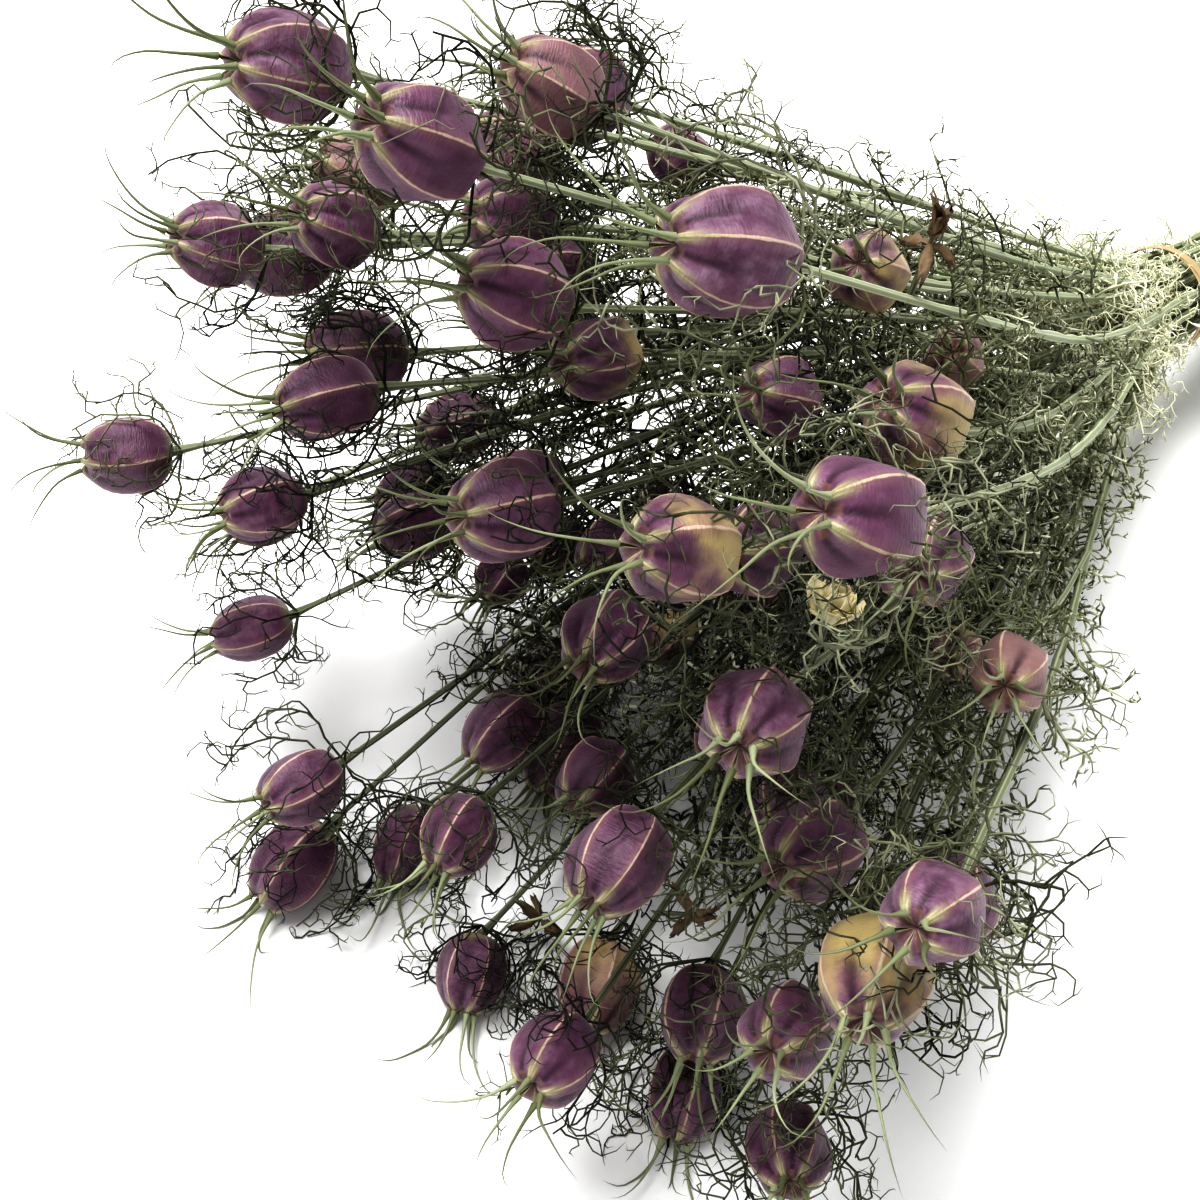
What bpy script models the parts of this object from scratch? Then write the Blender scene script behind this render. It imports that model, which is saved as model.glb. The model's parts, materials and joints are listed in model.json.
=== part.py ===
"""A tied bunch of dried love-in-a-mist seed pods, lying on a table with its cut ends away from the viewer.

Every cut stem is one node: the stem, its one or two ribbed pods with their horns, and the forked
threads of the ruff round each pod. The band that ties the bunch is the last node.
Lengths are in metres and angles in degrees. A pair of numbers is the least and the most of a range.
"""

import math
import random

import bpy
import numpy as np

# The bunch, measured from the middle of the tie along its axis
HEADS = 76
SIDE_EVERY = 3
SEED = 66
DRAWS = 10
FAN_LENGTH = 0.320
FAN_ANGLE = 25.0
FAN_POWER = 0.62
NECK_RADIUS = 0.0180
NECK_BEND = 0.030
TWIST = 25.0
TAIL_LENGTH = 0.165
TAIL_SPREAD = 0.022
TAIL_FLARE = 0.78
HEIGHT_SHARE = 0.97
LIE_ANGLE = 13.0
TIE_HEIGHT = 0.0612
SETTLE_HEIGHT = 0.018
TABLE_GAP = 0.0012

# How the heads differ from an even spiral: shares of the disc's radius, radians, and shares of a length
CORE_SHARE = 0.04
SHARE_JITTER = 0.025
TURN_JITTER = 0.10
TURN_CORE = 0.3
LENGTH_SPREAD = (0.085, 0.221)
SIDE_LENGTH = (0.66, 0.86)
RIM_SHARE = 0.8
RIM_SIDE_LENGTH = 0.52

# The pods
MAIN_WIDTH = (0.0215, 0.0270)
SIDE_WIDTH = (0.0155, 0.0215)
POD_STRETCH = (1.06, 1.24)
POD_LEAN = 0.36
POD_WAIST = 0.96
POD_CURVE = (2.3, 0.48)
LOBES = (5, 5, 6)
SIDE_LOBES = 5
GROOVE_DEPTH = 0.11
RING_HEIGHTS = (0.12, 0.44, 0.82)
STAR_HEIGHT = 0.90
HORN_RADIUS = 0.18
NECK_HEIGHT = 1.02
NECK_LIFT = 1.2
HORN_HALF_WIDTH = 0.00075
HORN_LENGTH = (0.42, 0.72)
HORN_SPREAD = (0.12, 0.42)
HORN_TURN = 17.0
HORN_ROOM = (0.22, 0.42)

# The stems and threads
STEM_RADII = (0.00125, 0.00100)
SIDE_RADII = (0.00095, 0.00080)
STEM_SIDES = 4
STEM_STATIONS = (0.0, 0.015, 0.060, 0.140, 0.230)
LAST_RUN = 0.035
SIDE_POINTS = 4
STEM_SWAY = 0.014
BRANCH_SHARE = (0.45, 0.62)
BRACTS = 4
SIDE_BRACTS = 3
COLLAR_DROP = 0.003
BRACT_HALF_WIDTH = 0.00070
BRACT_HALF_DEPTH = 0.00045
BRACT_REACH = 0.0095
BULGE_REACH = 0.0035
BULGE_FULLNESS = (0.6, 1.0)
TIP_FULLNESS = (0.93, 1.0)
BRACT_DRIFT = 9.0
FORK_POLAR = (42.0, 58.0)
TIP_POLAR = (85.0, 125.0)
TIP_TURN = (10.0, 27.0)
LEAST_REACH = 0.0016
THREAD_GAP = 0.0006

# The tie
TIE_GAP = 0.0006
TIE_THICKNESS = 0.0014
TIE_WIDTH = 0.0042
TIE_TURNS = 2
TIE_SLANT = 4.0
TIE_SEGMENTS = 20

# How finely a stem is sampled for spacing, and from which share of its length
SAMPLES = 6
SAMPLED_FROM = 0.7

# Colours and finish
POD_COLOUR = (0.16, 0.06, 0.13)
POD_SHADE = (0.8, 1.2)
POD_ROUGHNESS = 0.62
STRAW_COLOUR = (0.62, 0.52, 0.36)
STRAW_ROUGHNESS = 0.70
SHARP_ANGLE = 50.0

GOLDEN_ANGLE = math.pi * (3 - math.sqrt(5))


def unit(vector):
    """The vector at length one."""
    return vector / np.linalg.norm(vector)


def laid(across, along, height):
    """A point of the bunch, lying: across it, along it from the tie to the heads, and up from its axis."""
    tilt = math.radians(LIE_ANGLE)
    return np.array([
        across,
        -along * math.cos(tilt) + height * math.sin(tilt),
        along * math.sin(tilt) + height * math.cos(tilt) + TIE_HEIGHT,
    ])


def on_flow(disc, distance):
    """Where a stem that starts at this place of the unit disc is, at a distance from the tie."""
    share = math.hypot(disc[0], disc[1])
    turn = math.atan2(disc[1], disc[0])
    if distance >= 0:
        lean = math.radians(FAN_ANGLE) * share ** FAN_POWER
        run = distance - NECK_BEND * (1 - math.exp(-distance / NECK_BEND))
        radius = NECK_RADIUS * share + math.sin(lean) * run
        along = distance - (1 - math.cos(lean)) * run
        turn += math.radians(TWIST) * distance / FAN_LENGTH
    else:
        past = -distance / TAIL_LENGTH
        radius = NECK_RADIUS * share * (1 + TAIL_FLARE * past * past)
        along = distance
    squash = 1 - (1 - HEIGHT_SHARE) * min(1.0, max(0.0, 2 * distance / FAN_LENGTH))
    return laid(radius * math.cos(turn), along, squash * radius * math.sin(turn))


def draw_head(rng, index):
    """One drawn seed head: where its stem runs, and how long, wide and lobed it is."""
    side = index % SIDE_EVERY == 1
    share = math.sqrt((index + 0.5) / HEADS) + rng.uniform(-SHARE_JITTER, SHARE_JITTER)
    share = min(1.0, max(CORE_SHARE, share))
    turn = index * GOLDEN_ANGLE + rng.uniform(-TURN_JITTER, TURN_JITTER) / max(share, TURN_CORE)
    spread = LENGTH_SPREAD[0] + (LENGTH_SPREAD[1] - LENGTH_SPREAD[0]) * share
    length = FAN_LENGTH * (1 + rng.uniform(-1, 1) * spread)
    if side:
        length *= rng.uniform(RIM_SIDE_LENGTH if share > RIM_SHARE else SIDE_LENGTH[0], SIDE_LENGTH[1])
    head = {
        "index": index,
        "side": side,
        "disc": (share * math.cos(turn), share * math.sin(turn)),
        "length": length,
        "width": rng.uniform(*(SIDE_WIDTH if side else MAIN_WIDTH)),
        "spin": rng.uniform(0, 2 * math.pi),
        "lobes": SIDE_LOBES if side else rng.choice(LOBES),
        "seed": rng.randrange(1 << 20),
    }
    head["height"] = head["width"] * rng.uniform(*POD_STRETCH)
    base = on_flow(head["disc"], length)
    forward = unit(base - on_flow(head["disc"], length - head["height"]))
    lean = np.array([rng.uniform(-1, 1) for _ in range(3)]) * POD_LEAN
    head["base"] = base
    head["axis"] = unit(forward + lean - forward * float(lean @ forward))
    if base[2] < 2 * head["width"]:
        head["spin"] = 0.0
    underside = min(point[2] for ring in pod_rings(head) for point in ring)
    if underside < SETTLE_HEIGHT:
        head["base"] = base - np.array([0.0, 0.0, underside])
    head["middle"] = head["base"] + head["axis"] * head["height"] / 2
    return head


def pod_width_share(t):
    """How wide a pod is at a share of its height, against its widest."""
    return (1 - abs(2 * t - POD_WAIST) ** POD_CURVE[0]) ** POD_CURVE[1]


def pod_rings(head):
    """The rings of points of a lobed pod, from its foot to its shoulder, ribs first."""
    u, v = frame_along(head["axis"], head["spin"])
    sides = 2 * head["lobes"]
    rings = []
    for t in RING_HEIGHTS:
        ring = []
        for k in range(sides):
            out = head["width"] / 2 * pod_width_share(t) * (1 - GROOVE_DEPTH * (k % 2))
            turn = 2 * math.pi * k / sides
            ring.append(head["base"] + head["axis"] * t * head["height"]
                        + out * (math.cos(turn) * u + math.sin(turn) * v))
        rings.append(ring)
    return rings


def solids_of(head):
    """Spheres that stand for a head's pod and horns, and points down its stem, for spacing."""
    tip = head["base"] + head["axis"] * (head["height"] + HORN_ROOM[0] * head["width"])
    pod = [(head["middle"], head["height"] / 2), (tip, HORN_ROOM[1] * head["width"])]
    start = on_flow(head["disc"], SAMPLED_FROM * head["length"])
    path = [start, head["base"]] if head["side"] else stem_path(head)[-4:]
    stem = [(first + (last - first) * i / SAMPLES, 2 * STEM_RADII[0])
            for first, last in zip(path, path[1:]) for i in range(SAMPLES)]
    return pod, stem


def gap_between(first, second):
    """The least gap between two heads, where stems may pass close to stems."""
    pairs = [(a, b) for a in first[0] for b in second[0] + second[1]]
    pairs += [(a, b) for a in first[1] for b in second[0]]
    return min(np.linalg.norm(a[0] - b[0]) - a[1] - b[1] for a, b in pairs)


def lay_out_heads():
    """Places the heads in a sunflower spiral, each the roomiest of a few seeded draws."""
    rng = random.Random(SEED)
    heads = []
    for index in range(HEADS):
        best = None
        for _ in range(DRAWS):
            head = draw_head(rng, index)
            head["solids"] = solids_of(head)
            head["room"] = min([gap_between(head["solids"], other["solids"]) for other in heads] or [1.0])
            if best is None or head["room"] > best["room"]:
                best = head
        heads.append(best)
    return heads


def pair_heads(heads):
    """Gives each side head the nearest free main stem, and every head the reach its threads may take."""
    free = [head for head in heads if not head["side"]]
    for head in heads:
        head["sides"] = []
    for head in (head for head in heads if head["side"]):
        host = min(free, key=lambda main: math.dist(main["disc"], head["disc"]))
        free = [main for main in free if main is not host]
        host["sides"].append(head)
        head["host"] = host
    for head in heads:
        room = min(
            np.linalg.norm(head["middle"] - place) - radius - head["height"] / 2
            for other in heads if other is not head
            for place, radius in other["solids"][0] + other["solids"][1]
        )
        head["reach"] = max(LEAST_REACH, min(BRACT_REACH, room / 2 - THREAD_GAP))


def lifted(point, gap=TABLE_GAP):
    """Bends what would pass through the table clear of it."""
    return np.array([point[0], point[1], max(point[2], gap)])


def frame_along(axis, spin):
    """Two directions square to an axis, turned by spin about it."""
    helper = np.array([0.0, 0.0, 1.0]) if abs(axis[2]) < 0.9 else np.array([1.0, 0.0, 0.0])
    first = unit(np.cross(helper, axis))
    second = np.cross(axis, first)
    return (
        first * math.cos(spin) + second * math.sin(spin),
        second * math.cos(spin) - first * math.sin(spin),
    )


def mesh_object(name, points, faces):
    """A linked object that holds these points and faces."""
    mesh = bpy.data.meshes.new(name)
    mesh.from_pydata([tuple(point) for point in points], [], faces)
    mesh.validate()
    made = bpy.data.objects.new(name, mesh)
    bpy.context.collection.objects.link(made)
    return made


def stitched(low, low_count, high, high_count):
    """Triangles between two rings of different counts that start at the same angle."""
    faces = []
    i = j = 0
    while i < low_count or j < high_count:
        if j * low_count <= i * high_count and j < high_count or i == low_count:
            faces.append((low + i % low_count, high + (j + 1) % high_count, high + j % high_count))
            j += 1
        else:
            faces.append((low + i % low_count, low + (i + 1) % low_count, high + j % high_count))
            i += 1
    return faces


def head_mesh(head, path, radii, bracts):
    """Points and faces of one head on its stem, as one closed skin."""
    rng = random.Random(head["seed"])
    points = [point for ring in pod_rings(head) for point in ring]
    faces = []
    sides = 2 * head["lobes"]
    for ring in range(len(RING_HEIGHTS) - 1):
        for k in range(sides):
            a = ring * sides + k
            b = ring * sides + (k + 1) % sides
            faces.append((a, b, b + sides, a + sides))
    raise_horns(head, points, faces, rng)
    run_stem(head, points, faces, path, radii, bracts, rng)
    return points, faces


def raise_horns(head, points, faces, rng):
    """Closes the pod's top with a horn on each rib, round a sunken star."""
    u, v = frame_along(head["axis"], head["spin"])
    axis = head["axis"]
    width = head["width"]
    height = head["height"]
    sides = 2 * head["lobes"]

    def place(out, angle, up):
        return lifted(head["base"] + axis * up + out * (math.cos(angle) * u + math.sin(angle) * v))

    top = (len(RING_HEIGHTS) - 1) * sides
    root = HORN_RADIUS * width
    star = len(points)
    points.append(place(0, 0, STAR_HEIGHT * height))
    for lobe in range(head["lobes"]):
        angle = 2 * math.pi * lobe / head["lobes"]
        rim = [top + (2 * lobe - 1) % sides, top + 2 * lobe, top + (2 * lobe + 1) % sides, star]
        outward = math.cos(angle) * u + math.sin(angle) * v
        sideways = math.cos(angle) * v - math.sin(angle) * u
        middle = lifted(place(root, angle, NECK_HEIGHT * height), TABLE_GAP + HORN_HALF_WIDTH)
        neck = len(points)
        points.append(middle - sideways * HORN_HALF_WIDTH)
        points.append(middle + (NECK_LIFT * outward - axis) * HORN_HALF_WIDTH)
        points.append(middle + sideways * HORN_HALF_WIDTH)
        points.append(middle - outward * HORN_HALF_WIDTH)
        spread = width * rng.uniform(*HORN_SPREAD)
        turned = angle + math.radians(rng.uniform(-HORN_TURN, HORN_TURN))
        points.append(place(root + spread, turned, NECK_HEIGHT * height + width * rng.uniform(*HORN_LENGTH)))
        for k in range(4):
            low, high = rim[k], rim[(k + 1) % 4]
            faces.append((low, high, neck + (k + 1) % 4, neck + k))
            faces.append((neck + k, neck + (k + 1) % 4, neck + 4))


def run_stem(head, points, faces, path, radii, bracts, rng):
    """Closes the pod's foot with its stem, down to the cut end, and raises the threads from its last run."""
    u, v = frame_along(head["axis"], head["spin"])
    arriving = unit(path[-1] - path[-2])
    runs = [path[-1], path[-1] - arriving * COLLAR_DROP] + path[-2::-1]
    across = u
    above = 0
    above_count = 2 * head["lobes"]
    for i, point in enumerate(runs):
        ahead = head["axis"] if i == 0 else unit(runs[i - 1] - runs[min(i + 1, len(runs) - 1)])
        across = unit(across - ahead * float(across @ ahead))
        other = np.cross(ahead, across)
        size = radii[1] + (radii[0] - radii[1]) * i / (len(runs) - 1)
        low = len(points)
        for k in range(STEM_SIDES):
            turn = 2 * math.pi * k / STEM_SIDES
            points.append(point + size * (math.cos(turn) * across + math.sin(turn) * other))
        if i == 1:
            for k in range(STEM_SIDES):
                after = (k + 1) % STEM_SIDES
                corners = (low + k, low + after, above + after, above + k)
                if k < bracts:
                    turn = 2 * math.pi * (k + 0.5) / STEM_SIDES
                    outward = math.cos(turn) * u + math.sin(turn) * v
                    raise_bract(head, points, faces, corners, outward, rng)
                else:
                    faces.append(corners)
        else:
            faces += stitched(low, STEM_SIDES, above, above_count)
        above = low
        above_count = STEM_SIDES
    faces.append(tuple(reversed(range(above, above + STEM_SIDES))))


def raise_bract(head, points, faces, corners, outward, rng):
    """Raises a forked thread from one side of the stem's end, curling up outside the pod."""
    middle = head["middle"]
    axis = head["axis"]
    half_pod = head["height"] / 2
    root = sum(points[k] for k in corners) / 4
    sideways = np.cross(axis, outward)

    def place(polar, turn, far):
        flat = math.sin(polar) * (math.cos(turn) * outward + math.sin(turn) * sideways)
        return lifted(middle + far * (flat - math.cos(polar) * axis))

    start = math.radians(rng.uniform(*FORK_POLAR))
    aim = math.radians(rng.uniform(-BRACT_DRIFT, BRACT_DRIFT))
    bulge = min(head["reach"], BULGE_REACH) * rng.uniform(*BULGE_FULLNESS)
    fork = place(start, aim, half_pod + bulge)
    far = half_pod + head["reach"]
    clear = 2 * math.acos((head["width"] / 2 + THREAD_GAP) / far)
    tips = []
    for hand in (1, -1):
        polar = start + min(clear, math.radians(rng.uniform(*TIP_POLAR)) - start)
        turn = aim + hand * math.radians(rng.uniform(*TIP_TURN))
        tips.append(place(polar, turn, far * rng.uniform(*TIP_FULLNESS)))
    along = unit(fork - root)
    across = unit(sideways - along * float(sideways @ along))
    deep = np.cross(along, across)
    ring = len(points)
    for x, y in ((-1, -1), (1, -1), (1, 1), (-1, 1)):
        points.append(fork + x * BRACT_HALF_WIDTH * across + y * BRACT_HALF_DEPTH * deep)
    points += tips
    for k in range(4):
        faces.append((corners[k], corners[(k + 1) % 4], ring + (k + 1) % 4, ring + k))
    for rim, tip in (((0, 1, 2), 4), ((0, 2, 3), 5)):
        for k in range(3):
            faces.append((ring + rim[k], ring + rim[(k + 1) % 3], ring + tip))


def stem_path(head):
    """The middle line of a main stem from its cut end to the pod that it carries."""
    rng = random.Random(head["seed"] + 1)
    tail = rng.uniform(0, TAIL_SPREAD) - TAIL_LENGTH
    points = [lifted(on_flow(head["disc"], tail), STEM_RADII[0])]
    for distance in (station for station in STEM_STATIONS if station < head["length"] - LAST_RUN):
        phase = rng.uniform(0, 2 * math.pi)
        sway = STEM_SWAY * max(0.0, distance - STEM_STATIONS[1])
        offset = laid(sway * math.cos(phase), 0, sway * math.sin(phase)) - laid(0, 0, 0)
        points.append(lifted(on_flow(head["disc"], distance) + offset, 2 * STEM_RADII[0]))
    points.append(head["base"])
    return points


def side_path(head):
    """The middle line of a side stem, from inside the main stem to its own pod."""
    rng = random.Random(head["seed"] + 2)
    start = head["length"] * rng.uniform(*BRANCH_SHARE)
    main = head["host"]["disc"]
    own = head["disc"]
    points = [nearest_on(stem_path(head["host"]), on_flow(main, start))]
    for i in range(1, SIDE_POINTS - 1):
        share = i / (SIDE_POINTS - 1)
        ease = share * share * (3 - 2 * share)
        disc = (main[0] + (own[0] - main[0]) * ease, main[1] + (own[1] - main[1]) * ease)
        distance = start + (head["length"] - start) * share
        points.append(lifted(on_flow(disc, distance), 2 * STEM_RADII[0]))
    points.append(head["base"])
    return points


def nearest_on(path, point):
    """The nearest point to this one on a line of straight runs."""
    best = None
    for start, end in zip(path, path[1:]):
        run = end - start
        share = min(1.0, max(0.0, float((point - start) @ run) / float(run @ run)))
        found = start + share * run
        if best is None or np.linalg.norm(found - point) < np.linalg.norm(best - point):
            best = found
    return best


def joined(name, pieces, material):
    """One smooth body from closed pieces that cross each other or themselves, by a Boolean union."""
    body = mesh_object(name, *pieces[0])
    others = bpy.data.collections.new(name + "_pieces")
    bpy.context.scene.collection.children.link(others)
    for i, piece in enumerate(pieces[1:]):
        other = mesh_object(f"{name}_piece_{i}", *piece)
        bpy.context.collection.objects.unlink(other)
        others.objects.link(other)
    union = body.modifiers.new("Union", "BOOLEAN")
    union.operation = "UNION"
    union.operand_type = "COLLECTION"
    union.collection = others
    union.solver = "EXACT"
    union.use_self = True
    graph = bpy.context.evaluated_depsgraph_get()
    whole = bpy.data.meshes.new_from_object(body.evaluated_get(graph))
    body.modifiers.clear()
    body.data = whole
    for other in list(others.objects):
        bpy.data.objects.remove(other)
    bpy.data.collections.remove(others)
    whole.name = name
    whole.shade_smooth()
    whole.set_sharp_from_angle(angle=math.radians(SHARP_ANGLE))
    whole.materials.clear()
    whole.materials.append(material)
    return body


def plain_material(name, colour, roughness):
    """A Principled material of one colour."""
    material = bpy.data.materials.new(name)
    material.use_nodes = True
    shader = material.node_tree.nodes["Principled BSDF"]
    shader.inputs["Base Color"].default_value = (*colour, 1)
    shader.inputs["Roughness"].default_value = roughness
    shader.inputs["Metallic"].default_value = 0
    material.diffuse_color = (*colour, 1)
    return material


def make_stem(number, head):
    """One cut stem with the one or two heads that it carries, fused."""
    pieces = [head_mesh(head, stem_path(head), STEM_RADII, BRACTS)]
    pieces += [head_mesh(side, side_path(side), SIDE_RADII, SIDE_BRACTS) for side in head["sides"]]
    name = f"stem_{number:02d}"
    shade = random.Random(head["seed"] + 4).uniform(*POD_SHADE)
    skin = plain_material(name + "_skin", [shade * part for part in POD_COLOUR], POD_ROUGHNESS)
    return joined(name, pieces, skin)


def make_tie():
    """The band that holds the stems: turns of one strip, crossed and fused, standing just clear of them."""
    inner = NECK_RADIUS + STEM_RADII[0] + TIE_GAP
    outer = inner + TIE_THICKNESS
    pieces = []
    for turn in range(TIE_TURNS):
        slant = math.radians(TIE_SLANT) * (1 - 2 * turn / max(1, TIE_TURNS - 1))
        points = []
        for i in range(TIE_SEGMENTS):
            angle = 2 * math.pi * (i + 0.5 * turn) / TIE_SEGMENTS
            for radius, hand in ((inner, -1), (outer, -1), (outer, 1), (inner, 1)):
                x = radius * math.cos(angle)
                along = hand * TIE_WIDTH / 2 + x * math.tan(slant)
                points.append(laid(x, along, radius * math.sin(angle)))
        faces = []
        for i in range(TIE_SEGMENTS):
            following = 4 * ((i + 1) % TIE_SEGMENTS)
            for k in range(4):
                beside = (k + 1) % 4
                faces.append((4 * i + beside, 4 * i + k, following + k, following + beside))
        pieces.append((points, faces))
    return joined("tie", pieces, plain_material("tie_straw", STRAW_COLOUR, STRAW_ROUGHNESS))


def stand_on_origin(nodes):
    """Moves all the nodes so that the middle of the bunch's underside is at the world's origin."""
    points = np.array([vertex.co[:] for node in nodes for vertex in node.data.vertices])
    low = points.min(axis=0)
    high = points.max(axis=0)
    shift = np.array([(low[0] + high[0]) / 2, (low[1] + high[1]) / 2, low[2]])
    for node in nodes:
        for vertex in node.data.vertices:
            vertex.co = vertex.co - type(vertex.co)(shift)
        node.data.update()


def main():
    for old in list(bpy.data.objects):
        bpy.data.objects.remove(old)
    heads = lay_out_heads()
    pair_heads(heads)
    mains = [head for head in heads if not head["side"]]
    nodes = [make_stem(number, head) for number, head in enumerate(mains, 1)]
    nodes.append(make_tie())
    stand_on_origin(nodes)


main()
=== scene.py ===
# %% [markdown]
# # A tied bunch of dried love-in-a-mist pods
# The bunch lies on a table with its cut ends away from us. Every stem ends in a papery, ribbed pod
# with long horns, and each pod sits in a ruff of hair-fine forked threads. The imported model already
# holds the stems, pods and tie at their real size. This lesson dresses them: finer pods, horns,
# ribbed stems and the green mist of threads, with a dry finish on each.

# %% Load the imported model
import json
import math
import random

import bpy
import mathutils
import numpy as np
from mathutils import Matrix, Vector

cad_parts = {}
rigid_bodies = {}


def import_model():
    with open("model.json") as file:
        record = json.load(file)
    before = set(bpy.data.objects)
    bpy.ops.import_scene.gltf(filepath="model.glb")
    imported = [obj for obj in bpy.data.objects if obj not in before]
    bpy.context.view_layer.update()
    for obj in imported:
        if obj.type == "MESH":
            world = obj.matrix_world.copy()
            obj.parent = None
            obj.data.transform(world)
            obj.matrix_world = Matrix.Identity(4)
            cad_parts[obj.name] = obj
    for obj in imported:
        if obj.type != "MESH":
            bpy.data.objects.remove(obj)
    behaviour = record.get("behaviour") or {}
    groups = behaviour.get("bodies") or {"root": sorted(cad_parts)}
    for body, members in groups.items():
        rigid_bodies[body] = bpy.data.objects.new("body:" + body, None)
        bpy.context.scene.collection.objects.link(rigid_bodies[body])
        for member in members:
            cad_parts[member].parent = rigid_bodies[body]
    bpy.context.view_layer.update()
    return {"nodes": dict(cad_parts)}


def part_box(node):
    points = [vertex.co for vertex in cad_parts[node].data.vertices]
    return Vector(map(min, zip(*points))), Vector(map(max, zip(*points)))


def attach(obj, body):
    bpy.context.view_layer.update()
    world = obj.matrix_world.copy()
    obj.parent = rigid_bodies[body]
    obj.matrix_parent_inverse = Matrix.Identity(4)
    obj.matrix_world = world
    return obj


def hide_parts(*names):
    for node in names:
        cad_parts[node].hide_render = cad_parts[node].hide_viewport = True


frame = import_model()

STEM_NODES = sorted(name for name in frame["nodes"] if name.startswith("stem_"))

# %% [markdown]
# ## Where everything grows
# A sunflower packs its seeds by turning a fixed angle, the golden angle, between one seed and the
# next. The bunch borrows that rule: seen end on, its heads are laid out like sunflower seeds, and
# each stem flows out from the tie like water from a nozzle, so stems fan out without crossing.
# The model was built by the same rule with the same seed, so the finer pieces land where its
# solids are. Only the numbers that place things are repeated here.

# %% The numbers of the bunch, in metres and degrees
HEADS = 76
SIDE_EVERY = 3
SEED = 66
DRAWS = 10
FAN_LENGTH = 0.320
FAN_ANGLE = 25.0
FAN_POWER = 0.62
NECK_RADIUS = 0.0180
NECK_BEND = 0.030
TWIST = 25.0
TAIL_LENGTH = 0.165
TAIL_SPREAD = 0.022
TAIL_FLARE = 0.78
HEIGHT_SHARE = 0.97
LIE_ANGLE = 13.0
TIE_HEIGHT = 0.0612
SETTLE_HEIGHT = 0.018
TABLE_GAP = 0.0012
CORE_SHARE = 0.04
SHARE_JITTER = 0.025
TURN_JITTER = 0.10
TURN_CORE = 0.3
LENGTH_SPREAD = (0.085, 0.221)
SIDE_LENGTH = (0.66, 0.86)
RIM_SHARE = 0.8
RIM_SIDE_LENGTH = 0.52
MAIN_WIDTH = (0.0215, 0.0270)
SIDE_WIDTH = (0.0155, 0.0215)
POD_STRETCH = (1.06, 1.24)
POD_LEAN = 0.36
POD_WAIST = 0.96
POD_CURVE = (2.3, 0.48)
LOBES = (5, 5, 6)
SIDE_LOBES = 5
GROOVE_DEPTH = 0.11
RING_HEIGHTS = (0.12, 0.44, 0.82)
HORN_RADIUS = 0.18
NECK_HEIGHT = 1.02
HORN_LENGTH = (0.42, 0.72)
HORN_SPREAD = (0.12, 0.42)
HORN_TURN = 17.0
HORN_ROOM = (0.22, 0.42)
STEM_RADII = (0.00125, 0.00100)
SIDE_RADII = (0.00095, 0.00080)
STEM_STATIONS = (0.0, 0.015, 0.060, 0.140, 0.230)
LAST_RUN = 0.035
SIDE_POINTS = 4
STEM_SWAY = 0.014
BRANCH_SHARE = (0.45, 0.62)
BRACT_REACH = 0.0095
LEAST_REACH = 0.0016
THREAD_GAP = 0.0006
SAMPLES = 6
SAMPLED_FROM = 0.7
GOLDEN_ANGLE = math.pi * (3 - math.sqrt(5))


# %% Directions and places in the lying bunch
def unit(vector):
    """The vector at length one."""
    return vector / np.linalg.norm(vector)


def laid(across, along, height):
    """A point of the bunch, lying: across it, along it from the tie to the heads, and up from its axis."""
    tilt = math.radians(LIE_ANGLE)
    return np.array([
        across,
        -along * math.cos(tilt) + height * math.sin(tilt),
        along * math.sin(tilt) + height * math.cos(tilt) + TIE_HEIGHT,
    ])


def on_flow(disc, distance):
    """Where a stem that starts at this place of the unit disc is, at a distance from the tie."""
    share = math.hypot(disc[0], disc[1])
    turn = math.atan2(disc[1], disc[0])
    if distance >= 0:
        lean = math.radians(FAN_ANGLE) * share ** FAN_POWER
        run = distance - NECK_BEND * (1 - math.exp(-distance / NECK_BEND))
        radius = NECK_RADIUS * share + math.sin(lean) * run
        along = distance - (1 - math.cos(lean)) * run
        turn += math.radians(TWIST) * distance / FAN_LENGTH
    else:
        past = -distance / TAIL_LENGTH
        radius = NECK_RADIUS * share * (1 + TAIL_FLARE * past * past)
        along = distance
    squash = 1 - (1 - HEIGHT_SHARE) * min(1.0, max(0.0, 2 * distance / FAN_LENGTH))
    return laid(radius * math.cos(turn), along, squash * radius * math.sin(turn))


def frame_along(axis, spin):
    """Two directions square to an axis, turned by spin about it."""
    helper = np.array([0.0, 0.0, 1.0]) if abs(axis[2]) < 0.9 else np.array([1.0, 0.0, 0.0])
    first = unit(np.cross(helper, axis))
    second = np.cross(axis, first)
    return (
        first * math.cos(spin) + second * math.sin(spin),
        second * math.cos(spin) - first * math.sin(spin),
    )


def lifted(point, gap=TABLE_GAP):
    """Bends what would pass through the table clear of it."""
    return np.array([point[0], point[1], max(point[2], gap)])


# %% Draw the seed heads
def pod_width_share(t):
    """How wide a pod is at a share of its height, against its widest."""
    return (1 - abs(2 * t - POD_WAIST) ** POD_CURVE[0]) ** POD_CURVE[1]


def lowest_of_pod(head):
    """The height of the lowest point of the model's pod."""
    u, v = frame_along(head["axis"], head["spin"])
    lowest = 1.0
    for t in RING_HEIGHTS:
        for k in range(2 * head["lobes"]):
            out = head["width"] / 2 * pod_width_share(t) * (1 - GROOVE_DEPTH * (k % 2))
            turn = math.pi * k / head["lobes"]
            point = (head["base"] + head["axis"] * t * head["height"]
                     + out * (math.cos(turn) * u + math.sin(turn) * v))
            lowest = min(lowest, point[2])
    return lowest


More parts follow.
